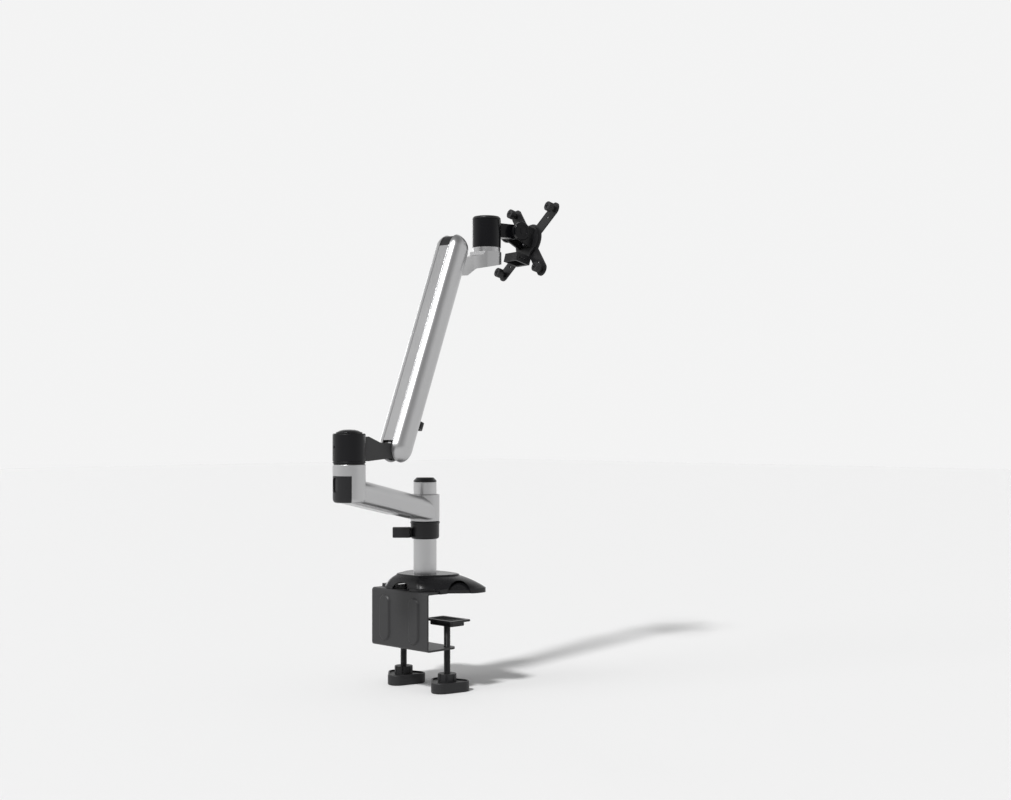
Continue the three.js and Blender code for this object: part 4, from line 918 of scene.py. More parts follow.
def height_collar():
    lip = COLLAR_RADIUS + COLLAR_LIP
    ring = turned(eased([
        (POLE + GAP, COLLAR_LOW),
        (COLLAR_RADIUS - COLLAR_FOOT, COLLAR_LOW),
        (COLLAR_RADIUS - COLLAR_BEVEL, COLLAR_LOW + COLLAR_BEVEL),
        (COLLAR_RADIUS, COLLAR_LOW + COLLAR_FOOT),
        (COLLAR_RADIUS, COLLAR_HIGH - COLLAR_FOOT - COLLAR_LIP),
        (lip, COLLAR_HIGH - COLLAR_FOOT),
        (lip, COLLAR_HIGH - COLLAR_LIP),
        (COLLAR_RADIUS, COLLAR_HIGH),
        (POLE + GAP, COLLAR_HIGH),
    ], radius=0.8))
    plan = slab(POLE, EAR_REACH, -EAR_HALF, EAR_HALF, EAR_CORNER)
    ears = cut(cushioned(plan, EAR_LOW, EAR_HIGH, edge=0.8), bar(POLE + GAP, 0, FAR * 2, FINE))
    split = block(0, FAR, -SPLIT_HALF, SPLIT_HALF, 0, FAR * 2)
    bolt_hole = pin_bar(BOLT + GAP, FAR, BOLT_X, LEVER_MIDDLE)
    collar = cut(joined(ring, ears), split, bolt_hole)
    piece("height_ring", collar, COLLAR, "collar", "black", "height_collar", edge=0.25)
    seat = -EAR_HALF - GAP
    head_end = seat - BOLT_HEAD_HEIGHT
    head = cross_bar(BOLT_HEAD, head_end, seat, HEXAGON)
    shank = cross_bar(BOLT, head_end + GAP, PIN_Y)
    eye = moved(bar(BOLT_EYE, -BOLT, BOLT), 0, PIN_Y)
    eye_hole = moved(bar(PIN + GAP, -FAR, FAR), 0, PIN_Y)
    socket = cross_bar(BOLT_SOCKET, -FAR, head_end + BOLT_SOCKET_DEPTH, HEXAGON)
    bolt = moved(cut(joined(shank, head, eye), eye_hole, socket), BOLT_X, 0, LEVER_MIDDLE)
    piece("collar_tie_bolt", bolt, COLLAR, "collar", "zinc", "collar_bolt", edge=0.25)


def quick_lever():
    cam = turned(eased([(0, EAR_LOW), (CAM, EAR_LOW), (CAM, LEVER_TOP), (0, LEVER_TOP)], radius=1), MEDIUM)
    plan = slab(HANDLE_START, HANDLE_END, HANDLE_OUTER, CAM, HANDLE_CORNER)
    handle = cushioned(plan, EAR_LOW, LEVER_TOP, edge=1.4)
    throat_half = BOLT + GAP
    throat = block(
        -FAR, THROAT_REACH, -FAR, THROAT_REACH, LEVER_MIDDLE - throat_half, LEVER_MIDDLE + throat_half
    )
    lever = cut(joined(cam, handle), throat, bar(PIN + GAP, 0, FAR * 2))
    lever = moved(lever, BOLT_X, PIN_Y)
    piece("quick_lever", lever, COLLAR, "lever", "black", "collar_lever", edge=0.3)
    pin = moved(bar(PIN, EAR_LOW, LEVER_TOP), BOLT_X, PIN_Y)
    piece("quick_lever_pin", pin, COLLAR, "lever", "zinc", "lever_pin", edge=0.2)


height_collar()
quick_lever()

# Lower arm: hub, rising arm and elbow block

ARM_LENGTH = elbow_ground.length
ARM_START = 121.3
ARM_RISE = 37
RISE = math.atan2(ARM_RISE, ARM_LENGTH)
RISEN = Matrix.Translation((0, 0, ARM_START)) @ Matrix.Rotation(-RISE, 4, "Y")
ARM_HALF = 21
ARM_TOP = 18
ARM_DROP = 17
ARM_CORNER = 8
HUB = 22
HUB_LOW = 104.3
HUB_HIGH = 145
BUSH = 19.3
BUSH_LENGTH = 12
CHANNEL_START = 30
CHANNEL_HALF = 11
CHANNEL_DEPTH = 9
STRIP_START = 87
STRIP_PAST_ELBOW = 8.9
STRIP_HALF = 10.7
STRIP_CORNER = 4.3
STRIP_THICKNESS = 3.4
ELBOW_R = 23
ELBOW_LOW = 141
ELBOW_TOP = 194.6
ELBOW_ROUND = 5
ELBOW_BEVEL = 1.5
INSERT_TOP = 178.8
INSERT_DEPTH = 3.6
INSERT_SPREAD = 87
WINDOW_TURN = -24
WINDOW_HALF = 6.5
WINDOW_LOW = 156
WINDOW_HIGH = 176.5
WINDOW_CORNER = 5
WINDOW_DEPTH = 2.2
AXLE = 6
AXLE_LOW = 152.8
AXLE_TOP = 232.6
NUT = 10.2
NUT_HEIGHT = 6
NUT_TOP = 231.6
HOUSING_HIGH = 237.6


def risen(shape):
    bmesh.ops.transform(shape, verts=shape.verts, matrix=RISEN)
    return shape


def arch_section(half_width, rise, drop, corner, steps=40, corner_steps=10):
    """A section of (y, z) points that is round above and flat below."""
    return (
        [(y, z * rise / half_width) for y, z in arc(0, 0, half_width, 0, 180, steps)]
        + arc(corner - half_width, corner - drop, corner, 180, 270, corner_steps)
        + arc(half_width - corner, corner - drop, corner, 270, 360, corner_steps)
    )


def elbow_block():
    return turned(eased([
        (0, ELBOW_LOW),
        (ELBOW_R - ELBOW_ROUND, ELBOW_LOW),
        (ELBOW_R - ELBOW_BEVEL, ELBOW_LOW + ELBOW_BEVEL),
        (ELBOW_R, ELBOW_LOW + ELBOW_ROUND),
        (ELBOW_R, ELBOW_TOP),
        (0, ELBOW_TOP),
    ], radius=1.2, steps=4))


def insert_fan(inset):
    """A wedge of the elbow block's outer skin, on the side that points away from the pole."""
    half = math.radians(INSERT_SPREAD / 2) - inset / ELBOW_R
    x, y = ELBOW_R * 2 * math.cos(half), ELBOW_R * 2 * math.sin(half)
    fan = raised([(0, 0), (x, -y), (ELBOW_R * 4, 0), (x, y)], 0, INSERT_TOP - inset)
    return cut(fan, bar(ELBOW_R - INSERT_DEPTH + inset, -FAR, TALL, FINE))


def lower_arm():
    length = ARM_LENGTH / math.cos(RISE)
    strip_end = length + STRIP_PAST_ELBOW
    section = arch_section(ARM_HALF, ARM_TOP, ARM_DROP, ARM_CORNER)
    tube = risen(loft([[(x, y, z) for y, z in section] for x in (0, length)]))
    tube = cut(tube, block(ARM_LENGTH, ARM_LENGTH * 2, -FAR, FAR, 0, TALL))
    hub = turned(eased([(0, HUB_LOW), (HUB, HUB_LOW), (HUB, HUB_HIGH), (0, HUB_HIGH)], radius=1.2))
    elbow = moved(cut(elbow_block(), insert_fan(0)), ARM_LENGTH)
    channel_end = strip_end + GAP * 2
    floor = CHANNEL_DEPTH - ARM_DROP
    casting = cut(
        joined(hub, tube, elbow),
        bar(POLE + GAP * 2, 0, TALL, FINE),
        bar(BUSH + GAP, 0, HUB_LOW + BUSH_LENGTH + GAP, FINE),
        bar(BUSH + GAP, HUB_HIGH - BUSH_LENGTH - GAP, TALL, FINE),
        moved(bar(AXLE + GAP, AXLE_LOW - GAP, TALL), ARM_LENGTH),
        risen(block(CHANNEL_START, channel_end, -CHANNEL_HALF, CHANNEL_HALF, -FAR, floor)),
    )
    piece("lower_arm_casting", casting, LOWER, "lower_arm", "silver", "lower_arm", edge=0.5)
    for name, low, node in (
        ("lower_bush", HUB_LOW, "hub_bush_lower"),
        ("upper_bush", HUB_HIGH - BUSH_LENGTH, "hub_bush_upper"),
    ):
        high = low + BUSH_LENGTH
        bush = turned([(POLE + GAP, low), (BUSH, low), (BUSH, high), (POLE + GAP, high)])
        piece(name, bush, LOWER, "lower_arm", "black", node, edge=0.2)
    low = -ARM_DROP - STRIP_THICKNESS / 2
    outline = slab(STRIP_START, strip_end, -STRIP_HALF, STRIP_HALF, STRIP_CORNER)
    strip = risen(cushioned(outline, low, low + STRIP_THICKNESS, edge=0.9))
    piece("cable_strip", strip, LOWER, "lower_arm", "silver", "lower_cable_cover", edge=0)


def elbow_insert():
    window = sideways(rounded(-WINDOW_HALF, WINDOW_HALF, WINDOW_LOW, WINDOW_HIGH, WINDOW_CORNER), 0, NEAR)
    window = cut(swung(window, WINDOW_TURN - 90, "Z"), bar(ELBOW_R - WINDOW_DEPTH, 0, TALL, FINE))
    insert = cut(common(elbow_block(), insert_fan(GAP)), window)
    insert = moved(insert, ARM_LENGTH)
    piece("elbow_side_insert", insert, LOWER, "lower_arm", "black", "elbow_insert", edge=0.3)
    axle = moved(bar(AXLE, AXLE_LOW, AXLE_TOP), ARM_LENGTH)
    piece("elbow_steel_axle", axle, LOWER, "lower_arm", "zinc", "elbow_axle", edge=0.4)
    nut = cut(bar(NUT, NUT_TOP - NUT_HEIGHT, NUT_TOP, HEXAGON), bar(AXLE + GAP, 0, TALL))
    nut = moved(nut, ARM_LENGTH)
    piece("elbow_lock_nut", nut, LOWER, "lower_arm", "zinc", "elbow_nut", edge=0.6)


lower_arm()
elbow_insert()

# Elbow housing and pivot bracket; outlines give their places in the elbow's frame

LIFT_X = (pivot("lift") - elbow_ground).xy.length
LIFT_Z = pivot("lift").z
LINK_OFFSET = 12
LINK_ANGLE = math.radians(127.5)
LINK_X = LINK_OFFSET * math.cos(LINK_ANGLE)
LINK_Z = LINK_OFFSET * math.sin(LINK_ANGLE)
LINK_HALF = 3
LINK_PIN = 2.5
LINK_ROOM = 19
PIVOT_PIN = 4
LUG = 5.55
NOSE = 10
NOSE_HALF = 8.9
WASHER = 22
WASHER_LOW = 194.9
WASHER_HIGH = 195.9
HOUSING_LOW = 196.2
HOUSING_BORE = 18.5
GROOVE_LOW = HOUSING_LOW + 2
GROOVE_DEPTH = 0.7
GROOVE_SLOPE = 0.4
GROOVE_WIDTH = 1
GRUB = 2
GRUB_TURN = -200.2
GRUB_HEIGHT = 218.9
LID_DOME = [(18.7, 0), (18.4, 1.5), (17.2, 2), (16, 2), (15.2, 2.7), (13, 3.8), (8, 5), (0, 5.4)]
WEDGE_HALF = 12.5
WEDGE_LOW = 198.8
WEDGE_HIGH = 233.3
WEDGE_NECK = 27
WEDGE_BEND = (54.96, 224.3)
WEDGE_SLIM = 60
CORE_LOW = 196.5
NUT_ROOM = 11.2


def elbow_housing():
    washer = turned([
        (AXLE + GAP, WASHER_LOW),
        (WASHER, WASHER_LOW),
        (WASHER, WASHER_HIGH),
        (AXLE + GAP, WASHER_HIGH),
    ])
    piece("elbow_washer_ring", washer, ELBOW, "elbow", "black", "elbow_washer", edge=0.1)
    sunk = ELBOW_R - GROOVE_DEPTH
    shell = turned(eased([
        (HOUSING_BORE, HOUSING_LOW),
        (ELBOW_R, HOUSING_LOW),
        (ELBOW_R, GROOVE_LOW),
        (sunk, GROOVE_LOW + GROOVE_SLOPE),
        (sunk, GROOVE_LOW + GROOVE_WIDTH),
        (ELBOW_R, GROOVE_LOW + GROOVE_WIDTH + GROOVE_SLOPE),
        (ELBOW_R, HOUSING_HIGH - 1),
        (ELBOW_R - 1, HOUSING_HIGH),
        (HOUSING_BORE, HOUSING_HIGH),
    ], radius=0.5))
    half = WEDGE_HALF + GAP
    window = block(0, FAR, -half, half, WEDGE_LOW - GAP, WEDGE_HIGH + GAP)
    grub = moved(swung(long_bar(GRUB, HOUSING_BORE / 2, FAR), GRUB_TURN, "Z"), 0, 0, GRUB_HEIGHT)
    shell = cut(shell, window, grub)
    piece("elbow_black_housing", shell, ELBOW, "elbow", "housing", "elbow_housing", edge=0.25)
    plug = HOUSING_BORE - GAP
    seat = HOUSING_HIGH + GAP
    lid = [(0, WEDGE_HIGH + GAP), (plug, WEDGE_HIGH + GAP), (plug, seat)]
    lid += [(radius, seat + rise) for radius, rise in LID_DOME]
    lid = turned(eased(lid, radius=0.4))
    piece("elbow_domed_cap", lid, ELBOW, "elbow", "gloss", "elbow_cap", edge=0)


def pin_pair(radius, half_length, steps=SMALL):
    """Cross bars at the link's pin and, opposite it, at the spring's pin."""
    places = [(LIFT_X + sign * LINK_X, LIFT_Z + sign * LINK_Z) for sign in (1, -1)]
    return [pin_bar(radius, half_length, x, z, steps) for x, z in places]


def pivot_bracket():
    wide = WEDGE_HALF * 2
    end = LIFT_X + NEAR
    side = sideways([
        (0, WEDGE_LOW),
        (WEDGE_NECK, WEDGE_LOW),
        (LIFT_X, LIFT_Z - NOSE),
        (LIFT_X, LIFT_Z + NOSE),
        WEDGE_BEND,
        (WEDGE_NECK, WEDGE_HIGH),
        (0, WEDGE_HIGH),
    ], -wide, wide)
    nose = pin_bar(NOSE, wide, LIFT_X, LIFT_Z, FINE)
    near = [(0, WEDGE_HALF), (WEDGE_NECK, WEDGE_HALF), (WEDGE_SLIM, NOSE_HALF), (end, NOSE_HALF)]
    plan = raised([(x, -y) for x, y in near] + near[::-1], 0, TALL)
    wedge = common(joined(side, nose, *pin_pair(LUG, wide, MEDIUM)), plan)
    bracket = cut(
        joined(bar(HOUSING_BORE - GAP, CORE_LOW, WEDGE_HIGH, FINE), wedge),
        block(LIFT_X - LINK_ROOM, end, -LINK_HALF - GAP, LINK_HALF + GAP, 0, TALL),
        bar(AXLE + GAP, 0, TALL),
        bar(NUT_ROOM, NUT_TOP - NUT_HEIGHT - GAP, TALL, MEDIUM),
        pin_bar(PIVOT_PIN + GAP, wide, LIFT_X, LIFT_Z),
        *pin_pair(LINK_PIN + GAP, wide),
    )
    piece("pivot_wedge", bracket, ELBOW, "elbow", "charcoal", "pivot_bracket", edge=0.4)
    link_pin, spring_pin = pin_pair(LINK_PIN, NOSE_HALF)
    piece("link_pin_low", link_pin, ELBOW, "elbow", "zinc", "link_pin_lower", edge=0.3)
    piece("spring_pin_low", spring_pin, ELBOW, "elbow", "zinc", "spring_pin_lower", edge=0.3)


elbow_housing()
pivot_bracket()

# Upper arm

UPPER_LENGTH = (pivot("head_level") - pivot("lift")).length
LIFT = math.asin(arm_axis.z)
SHELL = 24
SHELL_BACK = 20
SHELL_CORNER = 14.6
SHELL_WALL = 3
LOWER_DOME = 5
UPPER_DOME = 23
DOME_TIP = 0.03
SLOT_HALF = 9.65
SLOT_FLOOR = 14
MOUTH_FLOOR = -17.85
UPPER_MOUTH = 13
STRIP_TOP_START = 8
STRIP_TOP_END = UPPER_LENGTH + 20
STRIP_TOP_LOW = 17.9
PLUG_INSET = 1
PLUG_WALL = 3.5
PIN_BOSS = 9
PIN_LEFT = -18
PIN_HEAD = 6
PIN_HEAD_START = 20
PIN_HEAD_END = 22.2
PIN_SOCKET = 2.4
PIN_SOCKET_FLOOR = 20.8
HOOK_X = 52.5
HOOK_DROP = 9
HOOK = 7
HOOK_BORE = 4.2
HOOK_HALF = 5.5
HOOK_MOUTH_HALF = 2
HOOK_TURN = 35
HOOK_FOOT_HALF = 3.5
HOOK_FOOT_LOW = 4.8
HOOK_FOOT_TOP = 10
SPRING_EYE = 282
SPRING_DROP = -11
SPRING_BOSS = 6
SPRING_PIN = 3
SPRING_PIN_HALF = 12
EYE = 6
EYE_HALF = 4
CYLINDER = 9
CYLINDER_START = 112
CYLINDER_END = 260
CYLINDER_SHOULDER = 7.4
CYLINDER_NECK = 4
CYLINDER_BORE = (70, 172)
GAS_ROD = 4
GAS_ROD_START = 15
GAS_ROD_END = 147
ROD_EYE = 5.9
ROD_NECK = 18
ROD_SLOT_HALF = 2.8
ROD_SLOT_TOP = 1.6
ROD_SLOT_LOW = -1.1
LINK_HEIGHT_HALF = 2.8
LINK_EYE = 5.4


def shell_skin(inset, dome_steps=14):
    """The arm's skin: a straight run with a round dome at each end, flat along its back."""
    radius = SHELL - inset
    section = [(-y, -z) for y, z in arch_section(radius, radius, SHELL_BACK - inset, SHELL_CORNER - inset)]
    dome = []
    for step in range(dome_steps + 1):
        turn = math.pi / 2 * step / dome_steps
        dome.append((radius * math.sin(turn), max(math.cos(turn), DOME_TIP)))
    rings = [(LOWER_DOME - reach, scale) for reach, scale in reversed(dome)]
    rings += [(UPPER_LENGTH + UPPER_DOME + reach, scale) for reach, scale in dome]
    return loft([[(x, y * scale, z * scale) for y, z in section] for x, scale in rings])


def boss_pair(radius, x, z, start):
    """Two bosses that face each other across the shell, trimmed to lie inside its skin."""
    spans = ((start, FAR), (-FAR, -start))
    sides = [moved(cross_bar(radius, low, high, MEDIUM), x, 0, z) for low, high in spans]
    return common(joined(*sides), shell_skin(1))


def arm_shell():
    end = UPPER_LENGTH + UPPER_DOME + SHELL + FAR
    hollow = cut(shell_skin(0), shell_skin(SHELL_WALL))
    body = joined(
        hollow,
        boss_pair(PIN_BOSS, 0, 0, NOSE_HALF + GAP),
        boss_pair(PIN_BOSS, UPPER_LENGTH, 0, NOSE_HALF + GAP),
        boss_pair(SPRING_BOSS, SPRING_EYE, SPRING_DROP, EYE_HALF + GAP),
    )
    pin_rooms = []
    for x in (0, UPPER_LENGTH):
        shank_room = cross_bar(PIVOT_PIN + GAP, PIN_LEFT - GAP, NEAR)
        head_room = cross_bar(PIN_HEAD + GAP, PIN_HEAD_START - GAP, NEAR)
        pin_rooms.append(moved(joined(shank_room, head_room), x))
    body = cut(
        body,
        block(-FAR, end, -SLOT_HALF, SLOT_HALF, SLOT_FLOOR, FAR),
        block(-FAR, STRIP_TOP_START - GAP, -SLOT_HALF, SLOT_HALF, MOUTH_FLOOR, FAR),
        block(UPPER_LENGTH - UPPER_MOUTH, end, -SLOT_HALF, SLOT_HALF, -FAR, FAR),
        *pin_rooms,
        pin_bar(SPRING_PIN + GAP, SPRING_PIN_HALF + GAP, SPRING_EYE, SPRING_DROP),
    )
    piece("upper_arm_casting", body, ARM, "upper_arm", "silver", "upper_arm_shell", edge=0.5, corner=38)


def arm_trim():
    for name, x, node in (
        ("low_pivot_pin", 0, "lower_pivot_pin"),
        ("high_pivot_pin", UPPER_LENGTH, "upper_pivot_pin"),
    ):
        shank = cross_bar(PIVOT_PIN, PIN_LEFT, PIN_HEAD_START + 1)
        head = cross_bar(PIN_HEAD, PIN_HEAD_START, PIN_HEAD_END)
        pin = cut(joined(shank, head), cross_bar(PIN_SOCKET, PIN_SOCKET_FLOOR, NEAR, HEXAGON))
        piece(name, moved(pin, x), ARM, "upper_arm", "zinc", node, edge=0.3)
    half = SLOT_HALF - GAP
    strip = block(STRIP_TOP_START, STRIP_TOP_END, -half, half, STRIP_TOP_LOW, SHELL_BACK)
    piece("back_strip", strip, ARM, "upper_arm", "silver", "upper_arm_cover", edge=0.5)
    plug = cut(shell_skin(PLUG_INSET), shell_skin(PLUG_INSET + PLUG_WALL))
    room = block(STRIP_TOP_END + GAP, STRIP_TOP_END + FAR, -half, half, SLOT_FLOOR + GAP, FAR)
    piece("arm_end_plug", common(plug, room), ARM, "upper_arm", "black", "upper_end_plug", edge=0.4)
    hoop = long_bar(HOOK, -HOOK_HALF, HOOK_HALF, MEDIUM)
    bores = [long_bar(HOOK_BORE, -NEAR, NEAR, MEDIUM) for _ in range(2)]
    mouth = swung(block(-NEAR, NEAR, 0, NEAR, -HOOK_MOUTH_HALF, HOOK_MOUTH_HALF), HOOK_TURN, "X")
    foot_plan = (-HOOK_HALF, HOOK_HALF, -HOOK_FOOT_HALF, HOOK_FOOT_HALF)
    foot = cut(block(*foot_plan, HOOK_FOOT_LOW, HOOK_FOOT_TOP), bores[0])
    clip = joined(cut(hoop, bores[1], mouth), foot)
    clip = cut(moved(clip, HOOK_X, 0, -SHELL - HOOK_DROP), long_bar(SHELL + GAP, 0, FAR * 2, FINE))
    piece("cable_hook", clip, ARM, "upper_arm", "black", "cable_clip", edge=0.4)


def in_arm(x, z):
    """A place beside a pivot, given upright, as it lies in the arm's own frame."""
    return x * math.cos(LIFT) + z * math.sin(LIFT), z * math.cos(LIFT) - x * math.sin(LIFT)


def gas_spring():
    barrel = turned(eased([
        (0, CYLINDER_START),
        (CYLINDER, CYLINDER_START),
        (CYLINDER, CYLINDER_END),
        (CYLINDER_SHOULDER, CYLINDER_END + 2),
        (CYLINDER_NECK, CYLINDER_END + 2),
        (CYLINDER_NECK, SPRING_EYE),
        (0, SPRING_EYE),
    ]), MEDIUM)
    eye = pin_bar(EYE, EYE_HALF, SPRING_EYE, 0, MEDIUM)
    spring = cut(
        joined(swung(barrel, 90, "Y"), eye),
        long_bar(GAS_ROD + GAP, *CYLINDER_BORE),
        pin_bar(SPRING_PIN + GAP, NEAR, SPRING_EYE),
    )
    spring = moved(spring, 0, 0, SPRING_DROP)
    piece("gas_cylinder", spring, ARM, "upper_arm", "black", "gas_spring_cylinder", edge=0.3)
    pin = pin_bar(SPRING_PIN, SPRING_PIN_HALF, SPRING_EYE, SPRING_DROP)
    piece("gas_cylinder_pin", pin, ARM, "upper_arm", "zinc", "spring_pin_upper", edge=0.3)
    eye_x, _ = in_arm(-LINK_X, -LINK_Z)
    eye_z = (ROD_SLOT_TOP + ROD_SLOT_LOW) / 2
    rod_eye = pin_bar(ROD_EYE, LINK_HALF, eye_x, eye_z, MEDIUM)
    neck = block(eye_x, eye_x + ROD_NECK, -LINK_HALF, LINK_HALF, -LINK_HALF, LINK_HALF)
    rod = long_bar(GAS_ROD, eye_x + GAS_ROD_START, GAS_ROD_END)
    outline = arc(0, ROD_SLOT_TOP, ROD_SLOT_HALF, 0, 180) + arc(0, ROD_SLOT_LOW, ROD_SLOT_HALF, 180, 360)
    slot = moved(sideways(outline, -NEAR, NEAR), eye_x)
    rod = moved(cut(joined(rod_eye, rod, neck), slot), 0, 0, SPRING_DROP)
    piece("gas_rod", rod, ARM, "spring_rod", "zinc", "gas_spring_rod", edge=0.4)


def levelling_link():
    low_x, low_z = in_arm(LINK_X, LINK_Z)
    ends = (low_x, low_x + UPPER_LENGTH)
    body = block(*ends, -LINK_HALF, LINK_HALF, low_z - LINK_HEIGHT_HALF, low_z + LINK_HEIGHT_HALF)
    eyes = [pin_bar(LINK_EYE, LINK_HALF, x, low_z, MEDIUM) for x in ends]
    holes = [pin_bar(LINK_PIN + GAP, NEAR, x, low_z) for x in ends]
    link = cut(joined(body, *eyes), *holes)
    piece("levelling_link", link, ARM, "parallel_link", "zinc", "parallel_link", edge=0.4)


arm_shell()
arm_trim()
gas_spring()
levelling_link()

# Head bracket and swivel head; outlines give their places from the arm's upper pivot

HEAD_X = (head_ground - pivot("head_level")).xy.length
HEAD_RISE = 32.3
HEAD_R = 22.5
HEAD_TOP = HEAD_RISE + 43.7
SEAT_STEP = 0.8
SEAT_LOW = 22.8
LUG_FLARE = [(49, NOSE_HALF), (61, NOSE_HALF), (73.6, 17.5)]
LUG_SLOT_END = 1.5
FIN_OUTLINE = [
    (0, -NOSE),
    (18.4, -17),
    (34.9, -16.2),
    (55.1, -4),
    (105.1, 6.5),
    (115.1, 8),
    (115.1, 24.8),
    (69.3, 24.8),
    (67.3, 19),
    (34.9, 11.4),
    (0, NOSE),
]
HEAD_AXLE = 5
HEAD_AXLE_LOW = 10.3
HEAD_AXLE_TOP = 70
HEAD_NUT = 9
HEAD_NUT_LOW = 66
CUP_BORE = 19
CUP_CORE = 9
CUP_FLOOR = HEAD_RISE + 5
CUP_CORE_TOP = HEAD_TOP - 12
NECK_HALF = 8
NECK_START = 20.75
NECK_HALF_HEIGHT = 11
SWIVEL_LID = 22.1
LID_PLUG = 4
LID_RIM = 2.3
LID_TOP = 4.7
LID_BEVEL = 2
TILT_Y = 54.5
TILT_Z = HEAD_RISE + 28.7
TILT_AXLE = 4
BARREL = 11.5
BARREL_HALF = 12


def bracket_plan(steps=12):
    """The head bracket from above: a narrow lug that flares into a round seat."""
    start, bend, end = (Vector(place) for place in LUG_FLARE)
    flare = []
    for step in range(steps + 1):
        share = step / steps
        flare.append(start.lerp(bend, share).lerp(bend.lerp(end, share), share))
    return (
        [(-FAR, -NOSE_HALF)]
        + [(point.x, -point.y) for point in flare]
        + arc(HEAD_X, 0, HEAD_R + SEAT_STEP, -90, 90, steps=48)
        + [(point.x, point.y) for point in reversed(flare)]
        + [(-FAR, NOSE_HALF)]
    )


def head_bracket():
    side = sideways(FIN_OUTLINE, -NEAR, NEAR)
    nose = pin_bar(NOSE, NEAR, steps=FINE)
    lug = pin_bar(LUG, NEAR, LINK_X, LINK_Z, MEDIUM)
    body = common(joined(side, nose, lug), raised(bracket_plan(), -FAR, FAR))
    boss = moved(bar(HEAD_R - SEAT_STEP, SEAT_LOW, HEAD_RISE - GAP, FINE), HEAD_X)
    bracket = cut(
        joined(body, boss),
        block(-NEAR, LUG_SLOT_END, -LINK_HALF - GAP, LINK_HALF + GAP, -NEAR, NEAR),
        pin_bar(PIVOT_PIN + GAP, NEAR),
        pin_bar(LINK_PIN + GAP, NEAR, LINK_X, LINK_Z),
        moved(bar(HEAD_AXLE + GAP, HEAD_AXLE_LOW - GAP, FAR), HEAD_X),
    )
    place = (BRACKET, "head_bracket")
    piece("head_fin_bracket", bracket, *place, "silver", "head_bracket", edge=0.8, segments=3)
    pin = pin_bar(LINK_PIN, NOSE_HALF, LINK_X, LINK_Z)
    piece("link_pin_high", pin, *place, "zinc", "link_pin_upper", edge=0.3)
    nut = bar(HEAD_NUT, HEAD_NUT_LOW, HEAD_AXLE_TOP, HEXAGON)
    axle = moved(joined(bar(HEAD_AXLE, HEAD_AXLE_LOW, HEAD_AXLE_TOP), nut), HEAD_X)
    piece("head_bolt", axle, *place, "zinc", "head_axle", edge=0.4)


def swivel_head():
    shell = turned(eased([
        (HEAD_AXLE + GAP, HEAD_RISE),
        (HEAD_R, HEAD_RISE),
        (HEAD_R, HEAD_TOP),
        (CUP_BORE, HEAD_TOP),
        (CUP_BORE, CUP_FLOOR),
        (CUP_CORE, CUP_FLOOR),
        (CUP_CORE, CUP_CORE_TOP),
        (HEAD_AXLE + GAP, CUP_CORE_TOP),
    ], radius=0.8))
    neck_height = (TILT_Z - NECK_HALF_HEIGHT, TILT_Z + NECK_HALF_HEIGHT)
    neck = block(-NECK_HALF, NECK_HALF, NECK_START, TILT_Y, *neck_height)
    barrel = moved(long_bar(BARREL, -BARREL_HALF, BARREL_HALF, FINE), 0, TILT_Y, TILT_Z)
    bore = moved(long_bar(TILT_AXLE + GAP, -NEAR, NEAR), 0, TILT_Y, TILT_Z)
    housing = cut(joined(shell, neck, barrel), bore)
    piece("swivel_cup", housing, HEAD, "head_swivel", "gloss", "swivel_housing", edge=0.4)
    lid = turned(eased([
        (0, HEAD_TOP - LID_PLUG),
        (CUP_BORE - GAP, HEAD_TOP - LID_PLUG),
        (CUP_BORE - GAP, HEAD_TOP + GAP),
        (SWIVEL_LID, HEAD_TOP + GAP),
        (SWIVEL_LID, HEAD_TOP + LID_RIM),
        (SWIVEL_LID - LID_BEVEL, HEAD_TOP + LID_TOP),
        (0, HEAD_TOP + LID_TOP),
    ], radius=0.7))
    piece("swivel_lid", lid, HEAD, "head_swivel", "black", "swivel_cap", edge=0)


head_bracket()
swivel_head()

# Tilt bracket with its discs

BASE_BACK = 25.7
BASE_FACE = 29.7
BASE_RADIUS = 27
PLATE_DROP = 6
PLATE_AXLE = 4
CHEEK = 13
CHEEK_LOW = -19.5
CHEEK_SINK = 1.5
CHEEK_INNER = 12.3
CHEEK_OUTER = 16.3
BOX_LOW = -46.5
BOX_HIGH = -33
BOX_BACK = 2
BOX_SET_BACK = 1.5
BOX_WALL = 3
BOX_HOLE = 1.6
BOX_HOLE_PLACES = (8, 13, 18)
DISC = 14.5
DISC_NEAR = CHEEK_OUTER + GAP
DISC_FAR = 22.1
DISC_BEVEL = 1.2
DISH = 8.5
DISH_RIM = 9.2
DISH_DEPTH = 0.7
STUD = 5.4
STUD_BEVEL = 0.4


def cheek(start, end):
    """A cheek of the tilt bracket, from its round eye to the base."""
    sunk = BASE_BACK + CHEEK_SINK
    outline = [(0, -CHEEK), (sunk, CHEEK_LOW), (sunk, CHEEK), (0, CHEEK)]
    side = joined(raised(outline, start, end), bar(CHEEK, start, end, FINE))
    return swung(swung(side, 90, "X"), 90, "Z")


